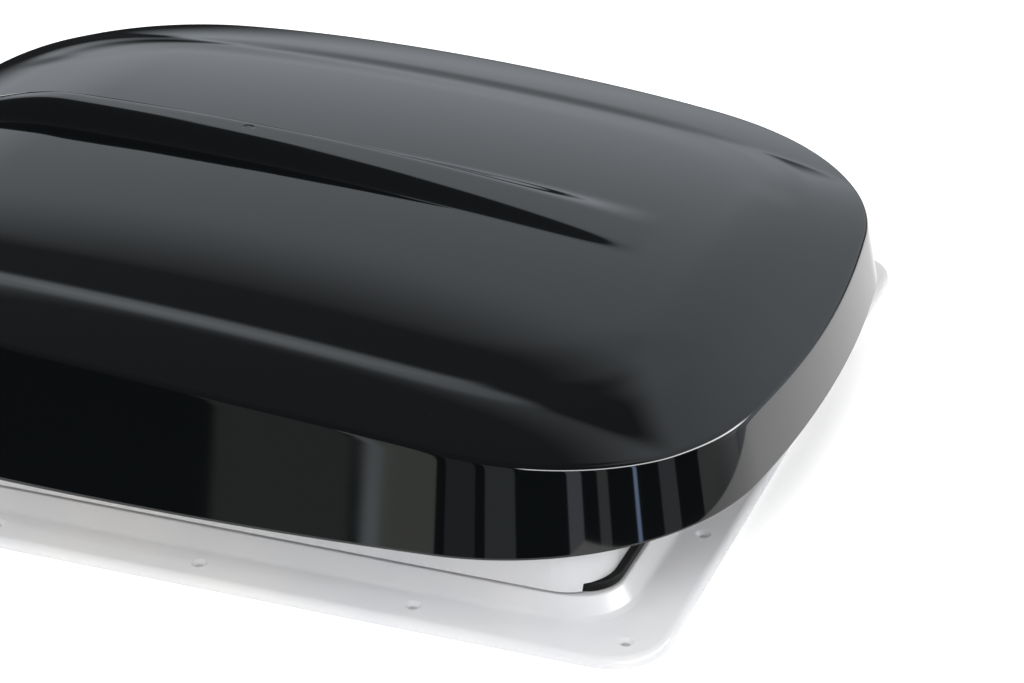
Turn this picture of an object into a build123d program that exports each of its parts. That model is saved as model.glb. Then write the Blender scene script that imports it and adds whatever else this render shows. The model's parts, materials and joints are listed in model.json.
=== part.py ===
from build123d import *
import os
from math import atan2, cos, degrees, hypot, radians, sin, sqrt, tan

os.makedirs("parts", exist_ok=True)

# Caravan roof vent for a square roof opening, hinged along its +X side.
# Frame: millimetres, +Z up, origin at the centre of the flange underside, which lies on the roof.
# -Y is the front side, +X is the hinge side. All pieces are drawn with the lid closed.

# General clearances
cut_overrun = 1.0
seat_gap = 0.3
running_play = 0.05
half_turn = 180.0
quarter_turn = 90.0

# Roof
roof_opening = 400.0
opening_play = 2.0

# Flange of the outer frame
flange_w = 26.2
flange_corner_r = 30.0
flange_t = 5.5
flange_lip_r = 3.5
flange_rim = 3.0
flange_foot_r = 3.5

# Mounting holes of the flange
corner_hole_inset = 18.8
side_hole_inset = 14.1
side_hole_pitch = 117.4
mount_hole_r = 2.2
mount_head_r = 4.1
countersink_angle = 90.0

# Upstand that carries the seal land
upstand_setout = 15.0
upstand_top_z = 15.6
upstand_corner_r = 25.0
upstand_slope = 30.0
upstand_wall = 3.0
land_edge_r = 1.2

# Neck that reaches down into the roof
neck_wall = 3.0
neck_depth = 20.0

# Gasket under the flange
gasket_t = 1.5

# Inner trim frame
trim_setback = 1.0
trim_t = 3.0
trim_rim_w = 2.0
trim_rim_h = 3.5
trim_edge_r = 0.8
collar_gap = 11.0
collar_wall = 2.5
collar_corner_r = 14.0
collar_top_z = 0.0

# Trim screws, their bosses on the neck and their caps
boss_r = 5.0
boss_collar_gap = 0.5
boss_top_z = 2.0
trim_screw_side_y = 60.0
trim_screw_front_x = 122.0
trim_screw_r = 1.75
trim_screw_head_r = 3.6
trim_screw_length = 16.0
cap_r = 5.0
cap_t = 2.0
cap_edge_r = 0.8

# Dome: how far its lower edge reaches past the upstand, its outline, wall and draft
dome_latch_reach = 115.0
dome_hinge_reach = 55.0
dome_side_reach = 35.0
dome_side_bow_r = 900.0
dome_front_bow_r = 1750.0
dome_corner_r = 142.0
dome_low_z = 42.0
dome_wall = 3.5
dome_draft = 10.8
dome_block_h = 125.0

# Dome top: the crease follows a long arc that is highest towards the -X end
crease_apex_x = -215.0
crease_apex_z = 114.4
crease_arc_r = 2940.0
crease_end_inset = 7.0
crease_side_inset = 12.0
rim_power = 3.7
rim_h = 8.0
rim_level_share = 0.8
rim_side_share = 0.775
rim_bend = 2.0
rim_side_bend = 1.2
crown_h = 13.8
ledge_blend_share = 0.035
crown_level_x = 190.0
crown_fall_left = 140.0
crown_fall_right = 75.0

# Valleys between the crowned field and the rim
valley_end_inset = 58.0
valley_side_inset = 73.0
valley_power = 5
valley_depth = 0.5
valley_outer_w = 12.0
valley_inner_w = 30.0
valley_fade_from_y = 85.0
valley_fade_to_y = 115.0

# Spine along the middle of the dome
spine_h = 13.0
spine_high_x = -227.0
spine_end_x = 162.0
spine_half_w_mid = 11.5
spine_widening_share = 0.024
spine_flank_w = 10.0
spine_back_setback = 4.5
spine_back_flank_w = 22.0
gate_mark_x = -77.0
gate_mark_r = 4.0
gate_mark_depth = 0.7

# Samples of the dome's top surface
top_step_x = 16.0
top_step_y = 8.0
top_margin = 22.0
top_tolerance = 0.2

# Lid pan: the inner skin of the lid
pan_wall = 3.0
pan_low_z = 17.1
pan_hinge_setback = 5.0
pan_flare = 4.5
pan_flange_z = 46.0
pan_glue_gap = 0.2
pan_lip_w = 4.7
recess_latch_inset = 63.0
recess_hinge_inset = 28.0
recess_side_inset = 26.0
recess_corner_r = 16.0
recess_ceiling_z = 58.0

# Lid seal
seal_w = 8.0
seal_seat_z = 21.6
seal_reach_hinge = 0.6
seal_rib_w = 2.5
seal_bore_r = 1.6

# Hinge between frame and lid
hinge_setout = 13.0
hinge_z = 24.0
hinge_y = 34.0
hinge_pin_r = 2.5
hinge_eye_r = 6.0
hinge_ear_t = 5.0
hinge_knuckle_w = 15.0
hinge_side_play = 0.3
hinge_base_t = 3.0
hinge_base_len = 52.0
hinge_base_gap = 3.7
hinge_base_w = 18.0
hinge_pin_head_r = 4.0
hinge_pin_head_t = 2.0
hinge_pad_w = 20.0
hinge_pad_t = 4.0
hinge_pad_len = 44.0
hinge_web_half = 5.0
hinge_screw_spread = 20.0

# Small screws
small_screw_r = 1.9
small_head_r = 3.8
small_head_t = 2.4
small_screw_length = 6.2
cross_slot_w = 1.0
cross_slot_depth = 1.2

# Lift bow: a bent rod that props the lid
bow_rod_r = 4.0
bow_bar_gap = 24.3
bow_dip = 5.0
bow_arm_gap = 3.0
bow_stub_gap = 5.0
bow_bend_r = 12.0
sleeve_r = 6.0
sleeve_len = 14.0
grip_r = 9.0
grip_len = 116.0
grip_end_r = 3.0
grip_groove_r = 1.2
grip_groove_pitch = 9.0
grip_groove_count = 11

# Pivot blocks of the bow
block_len = 46.0
block_low_z = 2.6
block_top_z = 15.0
block_t = 11.0
block_screw_spread = 16.0
block_play = 0.08

# Tracks under the lid
track_inset = 27.0
track_t = 5.0
track_play = 0.3
track_margin = 9.0
track_foot_w = 22.0
track_foot_t = 3.0
track_screw_count = 3
lid_open_angle = 45.0

# Latches
latch_setback = 23.0
latch_y = 110.0
latch_hub_r = 9.5
latch_low_z = 5.0
latch_bar_t = 6.6
latch_tongue_len = 18.5
latch_tongue_w = 12.0
latch_grip_len = 40.0
latch_grip_w = 14.0
latch_bolt_r = 3.0
latch_bolt_head_r = 5.5
latch_bolt_head_t = 2.0
latch_nut_r = 5.5
latch_nut_t = 4.0
latch_nut_sides = 6
latch_edge_r = 1.2

# Keepers for the latches
keeper_len = 26.0
keeper_t = 2.5
keeper_reach = 11.5
keeper_lip_gap = 0.5
keeper_low_z = 2.6
keeper_screw_spread = 8.0

# Flyscreen
screen_gap = 2.0
screen_bar_w = 14.5
screen_t = 6.0
screen_corner_r = 12.0
screen_axis_inset = 5.5
screen_pin_r = 2.0
screen_pin_length = 11.0
screen_groove = 2.0
net_t = 0.8
net_cells = 17
net_strand = 1.2
finger_notch_len = 44.0
finger_notch_depth = 6.0
finger_notch_h = 3.0

# Clips that hold the flyscreen
clip_y = 95.0
clip_reach = 18.0
clip_w = 9.0
clip_t = 2.7
clip_screw_r = 1.75
clip_screw_head_r = 3.4
clip_screw_length = 6.0

# Worked-out sizes
neck_half = roof_opening / 2 - opening_play
neck_inner_half = neck_half - neck_wall
upstand_top_half = neck_half + upstand_setout
upstand_foot_half = upstand_top_half + (upstand_top_z - flange_t) * tan(radians(upstand_slope))
flange_half = upstand_foot_half + flange_w
collar_half = neck_inner_half - collar_gap
boss_half = collar_half + boss_collar_gap + boss_r
trim_half = neck_half - trim_setback
trim_corner_r = collar_corner_r + neck_wall - trim_setback
trim_low_z = -neck_depth - trim_t
dome_left_x = upstand_top_half + dome_latch_reach
dome_right_x = upstand_top_half + dome_hinge_reach
dome_half_y = upstand_top_half + dome_side_reach
dome_mid_x = (dome_right_x - dome_left_x) / 2
dome_half_x = (dome_right_x + dome_left_x) / 2
side_bow_x = dome_half_x - dome_side_bow_r
front_bow_y = dome_half_y - dome_front_bow_r
crease_left_x = dome_left_x - crease_end_inset
crease_right_x = dome_right_x - crease_end_inset
crease_half_y = dome_half_y - crease_side_inset
valley_left_x = dome_left_x - valley_end_inset
valley_right_x = dome_right_x - valley_end_inset
valley_half_y = dome_half_y - valley_side_inset
collar_inner_half = collar_half - collar_wall
screen_half = collar_inner_half - screen_gap
screen_axis_x = screen_half - screen_axis_inset
screen_low_z = trim_low_z
screen_axis_z = screen_low_z + screen_t / 2
pan_shift_x = -pan_hinge_setback / 2
pan_half_x = upstand_top_half - pan_hinge_setback / 2
pan_floor_z = seal_seat_z + pan_wall
pan_floor_growth = (pan_floor_z - pan_low_z) * tan(radians(pan_flare))
recess_left_x = recess_latch_inset - upstand_top_half
recess_right_x = upstand_top_half - pan_hinge_setback - recess_hinge_inset
recess_half_y = upstand_top_half - recess_side_inset
recess_len = recess_right_x - recess_left_x
recess_mid_x = (recess_right_x + recess_left_x) / 2
hinge_x = upstand_top_half + hinge_setout
hinge_base_from_x = upstand_foot_half + hinge_base_gap
hinge_base_to_x = hinge_base_from_x + hinge_base_w
bow_bar_x = recess_left_x + bow_bar_gap + grip_r
bow_arm = (hinge_x - bow_bar_x) / (2 * cos(radians(bow_dip)))
bow_pivot_x = hinge_x - bow_arm * cos(radians(bow_dip))
bow_pivot_z = hinge_z - bow_arm * sin(radians(bow_dip))
bow_bar_open_x = hinge_x - 2 * bow_arm * cos(radians(bow_dip + lid_open_angle))
bow_arm_y = neck_inner_half - block_t - bow_arm_gap - bow_rod_r
bow_stub_y = neck_inner_half - bow_stub_gap
track_y = bow_arm_y - track_inset
latch_x = latch_setback - neck_inner_half
seal_outer_half = upstand_top_half - pan_lip_w
seal_inner_half = seal_outer_half - seal_w
seal_rib_half = seal_inner_half - seat_gap
seal_outer_r = upstand_corner_r - pan_lip_w
seal_inner_r = seal_outer_r - seal_w
seal_hinge_x = upstand_top_half - seal_reach_hinge
seal_mid_z = (upstand_top_z + seat_gap + seal_seat_z) / 2
hinge_screw_x = (hinge_base_from_x + hinge_base_to_x) / 2
hinge_ear_shift = (hinge_base_from_x - hinge_x + hinge_eye_r) / 2
hinge_reach = hinge_knuckle_w / 2 + hinge_side_play + hinge_ear_t
hinge_pad_shift = hinge_pad_w / 2 - hinge_eye_r
bow_stub_r = bow_rod_r + cut_overrun
track_travel = bow_bar_open_x - bow_bar_x
track_mid_x = (bow_bar_open_x + bow_bar_x) / 2
track_len = track_travel + 2 * (sleeve_r + track_play + track_margin)
track_low_z = hinge_z - sleeve_r - track_play - track_margin / 2
track_foot_y = track_y - track_foot_w / 2 + track_t / 2
track_screw_length = track_foot_t + pan_wall
keeper_wall_x = -neck_inner_half
keeper_top_z = latch_low_z + latch_bar_t + keeper_lip_gap + keeper_t
keeper_head_r = small_head_r / 2 + small_screw_r / 2
keeper_head_t = small_head_t / 2
screen_inner_half = screen_half - screen_bar_w
net_half = screen_inner_half + screen_groove
net_low_z = screen_axis_z - net_t / 2
net_pitch = (2 * screen_inner_half - net_strand) / net_cells
sides = {"front": -1, "back": 1}


def save(piece, name):
    """Label a finished piece and write its file."""
    piece.part.label = name
    export_step(piece.part, f"parts/{name}.step")


def smooth(share):
    """Ease from 0 to 1 as the share runs from 0 to 1."""
    held = min(max(share, 0.0), 1.0)
    return held * held * (3 - 2 * held)


def crease_z(x):
    """Height of the edge between skirt and top."""
    return crease_apex_z - (x - crease_apex_x) ** 2 / (2 * crease_arc_r)


def oval_share(x, y, left_x, right_x, half_y, power):
    """Position between the centre, 0, and a squarish oval, 1."""
    reach_x = left_x if x < 0 else right_x
    return ((abs(x) / reach_x) ** power + (abs(y) / half_y) ** power) ** (1 / power)


def end_fall(x):
    """Share of the crown that is left towards the two ends."""
    fall = crown_fall_left if x < 0 else crown_fall_right
    return 1 - smooth((abs(x) - crown_level_x) / fall)


def rim_height(x, y):
    """Level plate with a rim that drops to the crease: bevelled along the sides, rounded at the ends."""
    share = oval_share(x, y, crease_left_x, crease_right_x, crease_half_y, rim_power)
    side = (abs(y) / crease_half_y / share) ** rim_power if share else 0.0
    level = rim_level_share + (rim_side_share - rim_level_share) * side
    bend = rim_bend + (rim_side_bend - rim_bend) * side
    return rim_h * (1 - max((share - level) / (1 - level), 0.0) ** bend)


def crown_height(x, y):
    """Crowned field between the valleys, blended softly into the ledge beyond it."""
    inside = 1 - (y / valley_half_y) ** 2
    return crown_h * (inside + hypot(inside, ledge_blend_share)) / 2 * end_fall(x)


def valley_drop(x, y):
    """Groove along the edge of the field, steep outside and soft inside."""
    share = oval_share(x, y, valley_left_x, valley_right_x, valley_half_y, valley_power)
    past_valley = (share - 1) * valley_half_y
    width = valley_outer_w if past_valley > 0 else valley_inner_w
    fade = smooth((abs(y) - valley_fade_from_y) / (valley_fade_to_y - valley_fade_from_y))
    return valley_depth * fade * (1 - smooth(abs(past_valley) / width))


def spine_height(x, y):
    """Raised strip along the middle, with a steep front flank and a soft back one."""
    run = (x - spine_high_x) / (spine_end_x - spine_high_x)
    height = spine_h * max(1 - run**2, 0.0) * end_fall(x)
    half_w = spine_half_w_mid + spine_widening_share * x
    near = (-y - half_w) / spine_flank_w
    far = (y - half_w + spine_back_setback) / spine_back_flank_w
    return height * (1 - smooth(near if y < 0 else far))


def top_z(x, y):
    """Height of the dome's top surface."""
    return crease_z(x) + rim_height(x, y) + crown_height(x, y) - valley_drop(x, y) + spine_height(x, y)


def top_surface(drop):
    """The dome's top surface, lowered by a wall thickness, as one smooth face."""
    reach_x = dome_half_x + top_margin
    reach_y = dome_half_y + top_margin
    steps_x = round(2 * reach_x / top_step_x)
    steps_y = round(2 * reach_y / top_step_y)
    rows = []
    for i in range(steps_x + 1):
        x = dome_mid_x - reach_x + 2 * reach_x * i / steps_x
        row = []
        for j in range(steps_y + 1):
            y = -reach_y + 2 * reach_y * j / steps_y
            row.append(Vector(x, y, top_z(x, y) - drop))
        rows.append(row)
    return Face.make_surface_from_array_of_points(rows, tol=top_tolerance, min_deg=3)


def dome_corner_centre():
    """Centre of the corner arc that meets the side bow and the front bow smoothly."""
    side_reach = dome_side_bow_r - dome_corner_r
    front_reach = dome_front_bow_r - dome_corner_r
    apart = hypot(side_bow_x, front_bow_y)
    along = (side_reach**2 - front_reach**2 + apart**2) / (2 * apart)
    across = sqrt(side_reach**2 - along**2)
    toward_x = -side_bow_x / apart
    toward_y = front_bow_y / apart
    return side_bow_x + toward_x * along - toward_y * across, toward_y * along + toward_x * across


def dome_outline(inset):
    """Outline of the dome's lower edge, moved inwards: four bowed sides and large round corners."""
    corner_x, corner_y = dome_corner_centre()
    side_end = degrees(atan2(corner_y, corner_x - side_bow_x))
    front_end = degrees(atan2(corner_y - front_bow_y, corner_x))
    side_r = dome_side_bow_r - inset
    front_r = dome_front_bow_r - inset
    corner_r = dome_corner_r - inset
    turn = front_end - side_end
    with BuildSketch() as outline:
        with BuildLine():
            for way, start in ((1, 0.0), (-1, half_turn)):
                side_centre = (dome_mid_x + way * side_bow_x, 0)
                front_centre = (dome_mid_x, way * front_bow_y)
                corner = (dome_mid_x + way * corner_x, way * corner_y)
                next_corner = (dome_mid_x - way * corner_x, way * corner_y)
                CenterArc(side_centre, side_r, start - side_end, 2 * side_end)
                CenterArc(corner, corner_r, start + side_end, turn)
                CenterArc(front_centre, front_r, start + front_end, half_turn - 2 * front_end)
                CenterArc(next_corner, corner_r, start + half_turn - front_end, turn)
        make_face()
    return outline.sketch


def mount_hole_places():
    """Centres of the sixteen flange holes: four corners and three on each side."""
    corner = flange_half - corner_hole_inset
    side = flange_half - side_hole_inset
    places = [(sx * corner, sy * corner) for sx in (-1, 1) for sy in (-1, 1)]
    for step in (-1, 0, 1):
        for way in (-1, 1):
            places.append((step * side_hole_pitch, way * side))
            places.append((way * side, step * side_hole_pitch))
    return places


def trim_screw_places():
    """Centres of the eight trim screws, two on each side."""
    places = []
    for way in (-1, 1):
        for turn in (-1, 1):
            places.append((turn * boss_half, way * trim_screw_side_y))
            places.append((way * trim_screw_front_x, turn * boss_half))
    return places


def bracket_screw_places(x):
    """Centres of the hinge screws, two at each hinge."""
    return [(x, way * hinge_y + turn * hinge_screw_spread) for way in (-1, 1) for turn in (-1, 1)]


def arm_screw_places():
    """Centres of the screws of the hinge arms, one near each end of each pad."""
    spread = (hinge_pad_len + hinge_knuckle_w) / 4
    return [
        (hinge_x + hinge_pad_shift, way * hinge_y + turn * spread) for way in (-1, 1) for turn in (-1, 1)
    ]


def track_screw_places(way):
    """Centres of the screws along one track's foot."""
    pitch = track_len / track_screw_count
    screw_y = way * (track_y - track_t / 2 - (track_foot_w - track_t) / 2)
    middle = (track_screw_count - 1) / 2
    return [(track_mid_x + (i - middle) * pitch, screw_y) for i in range(track_screw_count)]


def block_screw_places():
    """Places of the screws of a pivot block, in its X and Z."""
    return [(bow_pivot_x + turn * block_screw_spread, bow_pivot_z) for turn in (-1, 1)]


def keeper_screw_places(way):
    """Places of the screws of a keeper, in its Y and Z."""
    screw_z = keeper_low_z + keeper_head_r + running_play
    return [(way * latch_y + turn * keeper_screw_spread, screw_z) for turn in (-1, 1)]


def clip_places():
    """Pivot points of the two flyscreen clips."""
    return [(-boss_half, way * clip_y) for way in (-1, 1)]


def head_screw(radius, head_radius, head_t, length):
    """Round-headed screw, head up, with the underside of its head at height zero."""
    with BuildPart() as screw:
        Cylinder(head_radius, head_t, align=(Align.CENTER, Align.CENTER, Align.MIN))
        fillet(screw.edges().group_by(Axis.Z)[-1], head_t / 2)
        with Locations((0, 0, -length)):
            Cylinder(radius, length, align=(Align.CENTER, Align.CENTER, Align.MIN))
        with BuildSketch(Plane.XY.offset(head_t)):
            Rectangle(head_radius, cross_slot_w)
            Rectangle(cross_slot_w, head_radius)
        extrude(amount=-cross_slot_depth, mode=Mode.SUBTRACT)
    return screw.part


def flat_screw(radius, head_radius, length):
    """Countersunk screw, head up, with the top of its head at height zero."""
    head_t = head_radius - radius
    with BuildPart() as screw:
        with BuildSketch():
            Circle(head_radius)
        with BuildSketch(Plane.XY.offset(-head_t)):
            Circle(radius)
        loft()
        with BuildSketch(Plane.XY.offset(-head_t)):
            Circle(radius)
        extrude(amount=head_t - length)
        with BuildSketch():
            Rectangle(head_radius, cross_slot_w)
            Rectangle(cross_slot_w, head_radius)
        extrude(amount=-cross_slot_depth, mode=Mode.SUBTRACT)
    return screw.part


# Outer frame: flange, sloped upstand with a hollow back, seal land and neck
with BuildPart() as outer_frame:
    with BuildSketch():
        RectangleRounded(2 * flange_half, 2 * flange_half, flange_corner_r)
    extrude(amount=flange_t)
    fillet(outer_frame.edges().group_by(Axis.Z)[-1], flange_lip_r)
    with BuildSketch(Plane.XY.offset(upstand_top_z)):
        RectangleRounded(2 * upstand_top_half, 2 * upstand_top_half, upstand_corner_r)
    extrude(amount=-(upstand_top_z - flange_t), taper=-upstand_slope)
    foot_edges = outer_frame.edges().filter_by_position(
        Axis.Z, flange_t - running_play, flange_t + running_play
    )
    foot_edges = foot_edges.filter_by(lambda e: abs(e.center().X) < flange_half - flange_lip_r - flange_foot_r)
    foot_edges = foot_edges.filter_by(lambda e: abs(e.center().Y) < flange_half - flange_lip_r - flange_foot_r)
    fillet(foot_edges, flange_foot_r)
    fillet(outer_frame.edges().group_by(Axis.Z)[-1], land_edge_r)
    with BuildSketch(Plane.XY.offset(-neck_depth)):
        RectangleRounded(2 * neck_half, 2 * neck_half, collar_corner_r + neck_wall)
    extrude(amount=neck_depth)
    with BuildSketch():
        RectangleRounded(
            2 * (upstand_foot_half - upstand_wall), 2 * (upstand_foot_half - upstand_wall), upstand_corner_r
        )
        RectangleRounded(2 * neck_half, 2 * neck_half, collar_corner_r + neck_wall, mode=Mode.SUBTRACT)
    extrude(amount=upstand_top_z - upstand_wall, taper=upstand_slope / 2, mode=Mode.SUBTRACT)
    with BuildSketch():
        RectangleRounded(
            2 * (flange_half - flange_rim), 2 * (flange_half - flange_rim), flange_corner_r - flange_rim
        )
        RectangleRounded(2 * neck_half, 2 * neck_half, collar_corner_r + neck_wall, mode=Mode.SUBTRACT)
    extrude(amount=gasket_t, mode=Mode.SUBTRACT)
    with BuildSketch(Plane.XY.offset(-neck_depth)):
        RectangleRounded(2 * neck_inner_half, 2 * neck_inner_half, collar_corner_r)
    extrude(amount=neck_depth + upstand_top_z, mode=Mode.SUBTRACT)
    with BuildSketch(Plane.XY.offset(-neck_depth)):
        for place_x, place_y in trim_screw_places():
            with Locations((place_x, place_y)):
                Circle(boss_r)
        for place_x, place_y in trim_screw_places():
            outward_x = neck_inner_half - boss_half if abs(place_x) == boss_half else 0
            outward_y = neck_inner_half - boss_half if abs(place_y) == boss_half else 0
            way_x = 1 if place_x > 0 else -1
            way_y = 1 if place_y > 0 else -1
            with Locations((place_x + way_x * outward_x / 2, place_y + way_y * outward_y / 2)):
                Rectangle(
                    outward_x + neck_wall / 2 if outward_x else 2 * boss_r,
                    outward_y + neck_wall / 2 if outward_y else 2 * boss_r,
                )
    extrude(amount=neck_depth + boss_top_z)
    with BuildSketch(Plane.XY.offset(-neck_depth)):
        with Locations(trim_screw_places()):
            Circle(trim_screw_r)
    extrude(amount=neck_depth, mode=Mode.SUBTRACT)
    with Locations([(x, y, flange_t) for x, y in mount_hole_places()]):
        CounterSinkHole(mount_hole_r, mount_head_r, counter_sink_angle=countersink_angle)
    with BuildSketch(Plane.XY.offset(gasket_t)):
        with Locations(bracket_screw_places(hinge_screw_x)):
            Circle(small_screw_r)
    extrude(amount=flange_t, mode=Mode.SUBTRACT)
    for way in sides.values():
        with BuildSketch(Plane.XZ.offset(-way * neck_inner_half)):
            with Locations(block_screw_places()):
                Circle(small_screw_r)
        extrude(amount=-way * neck_wall, mode=Mode.SUBTRACT)
        with BuildSketch(Plane.YZ.offset(-neck_inner_half)):
            with Locations(keeper_screw_places(way)):
                Circle(small_screw_r)
        extrude(amount=-neck_wall, mode=Mode.SUBTRACT)
save(outer_frame, "outer_frame")

# Gasket: flat foam ring in the underside of the flange, with the screw holes
with BuildPart() as roof_gasket:
    with BuildSketch():
        RectangleRounded(
            2 * (flange_half - flange_rim - seat_gap),
            2 * (flange_half - flange_rim - seat_gap),
            flange_corner_r - flange_rim - seat_gap,
        )
        RectangleRounded(
            2 * (upstand_foot_half - upstand_wall),
            2 * (upstand_foot_half - upstand_wall),
            upstand_corner_r,
            mode=Mode.SUBTRACT,
        )
        with Locations(mount_hole_places()):
            Circle(mount_hole_r, mode=Mode.SUBTRACT)
    extrude(amount=gasket_t)
save(roof_gasket, "roof_gasket")

# Dome: the dark outer shell, a drafted skirt under a crowned top
with BuildPart() as dome_cavity:
    with BuildSketch(Plane.XY.offset(dome_low_z)):
        add(dome_outline(dome_wall))
    extrude(amount=dome_block_h, taper=dome_draft)
    extrude(top_surface(dome_wall), amount=dome_block_h, dir=(0, 0, 1), mode=Mode.SUBTRACT)
with BuildPart() as dome_shell:
    with BuildSketch(Plane.XY.offset(dome_low_z)):
        add(dome_outline(0))
    extrude(amount=dome_block_h, taper=dome_draft)
    extrude(top_surface(0), amount=dome_block_h, dir=(0, 0, 1), mode=Mode.SUBTRACT)
    add(dome_cavity.part, mode=Mode.SUBTRACT)
    with Locations((gate_mark_x, 0, top_z(gate_mark_x, 0) - gate_mark_depth)):
        Cylinder(gate_mark_r, dome_wall, align=(Align.CENTER, Align.CENTER, Align.MIN), mode=Mode.SUBTRACT)
save(dome_shell, "dome_shell")

# Lid pan: flared side, glue flange inside the dome, seal seat and deep recess
with BuildPart() as lid_pan:
    with BuildSketch(Plane.XY.offset(pan_low_z)):
        with Locations((pan_shift_x, 0)):
            RectangleRounded(2 * pan_half_x, 2 * upstand_top_half, upstand_corner_r)
    extrude(amount=pan_flange_z + pan_wall - pan_low_z, taper=-pan_flare)
    with BuildSketch(Plane.XY.offset(pan_flange_z)):
        add(dome_outline(dome_wall + pan_glue_gap + (pan_flange_z - dome_low_z) * tan(radians(dome_draft))))
    extrude(amount=pan_wall, taper=dome_draft)
    with BuildSketch(Plane.XY.offset(pan_floor_z)):
        with Locations((pan_shift_x, 0)):
            RectangleRounded(
                2 * (pan_half_x - pan_wall + pan_floor_growth),
                2 * (upstand_top_half - pan_wall + pan_floor_growth),
                upstand_corner_r,
            )
    extrude(amount=pan_flange_z + pan_wall - pan_floor_z, taper=-pan_flare, mode=Mode.SUBTRACT)
    with BuildSketch(Plane.XY.offset(seal_seat_z)):
        with Locations((recess_mid_x, 0)):
            RectangleRounded(
                recess_len + 2 * pan_wall, 2 * (recess_half_y + pan_wall), recess_corner_r + pan_wall
            )
    extrude(amount=recess_ceiling_z + pan_wall - seal_seat_z)
    with BuildSketch(Plane.XY.offset(pan_low_z)):
        with Locations((pan_lip_w, 0)):
            RectangleRounded(
                2 * upstand_top_half, 2 * (upstand_top_half - pan_lip_w), upstand_corner_r - pan_lip_w
            )
    extrude(amount=seal_seat_z - pan_low_z, mode=Mode.SUBTRACT)
    with BuildSketch(Plane.XY.offset(pan_low_z)):
        RectangleRounded(2 * seal_rib_half, 2 * seal_rib_half, seal_inner_r)
        RectangleRounded(
            2 * (seal_rib_half - seal_rib_w),
            2 * (seal_rib_half - seal_rib_w),
            seal_inner_r - seal_rib_w,
            mode=Mode.SUBTRACT,
        )
    extrude(amount=pan_floor_z - pan_low_z)
    with BuildSketch(Plane.XY.offset(seal_seat_z - cut_overrun)):
        with Locations((recess_mid_x, 0)):
            RectangleRounded(recess_len, 2 * recess_half_y, recess_corner_r)
    extrude(amount=recess_ceiling_z - seal_seat_z + cut_overrun, mode=Mode.SUBTRACT)
    with BuildSketch(Plane.XY.offset(seal_seat_z)):
        with Locations([(latch_x, way * latch_y) for way in (-1, 1)]):
            Circle(latch_bolt_r)
    extrude(amount=pan_wall, mode=Mode.SUBTRACT)
    with BuildSketch(Plane.XY.offset(pan_flange_z)):
        with Locations(arm_screw_places()):
            Circle(small_screw_r)
    extrude(amount=pan_wall, mode=Mode.SUBTRACT)
    with BuildSketch(Plane.XY.offset(recess_ceiling_z)):
        with Locations(track_screw_places(-1) + track_screw_places(1)):
            Circle(small_screw_r)
    extrude(amount=pan_wall, mode=Mode.SUBTRACT)
save(lid_pan, "lid_pan")

# Lid seal: hollow rubber ring in the pan's groove, in reach of the land, wider on the hinge side
with BuildPart() as lid_seal:
    with BuildSketch(Plane.XY.offset(upstand_top_z + seat_gap)):
        with Locations(((seal_hinge_x - seal_outer_half) / 2, 0)):
            RectangleRounded(seal_hinge_x + seal_outer_half, 2 * seal_outer_half, seal_outer_r)
        RectangleRounded(2 * seal_inner_half, 2 * seal_inner_half, seal_inner_r, mode=Mode.SUBTRACT)
    extrude(amount=seal_seat_z - upstand_top_z - seat_gap)
    with BuildSketch(Plane.XY.offset(seal_mid_z - seal_bore_r)):
        bore_half = seal_inner_half + seal_w / 2
        RectangleRounded(2 * (bore_half + seal_bore_r), 2 * (bore_half + seal_bore_r), seal_inner_r)
        RectangleRounded(
            2 * (bore_half - seal_bore_r), 2 * (bore_half - seal_bore_r), seal_inner_r, mode=Mode.SUBTRACT
        )
    extrude(amount=2 * seal_bore_r, mode=Mode.SUBTRACT)
save(lid_seal, "lid_seal")

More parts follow.
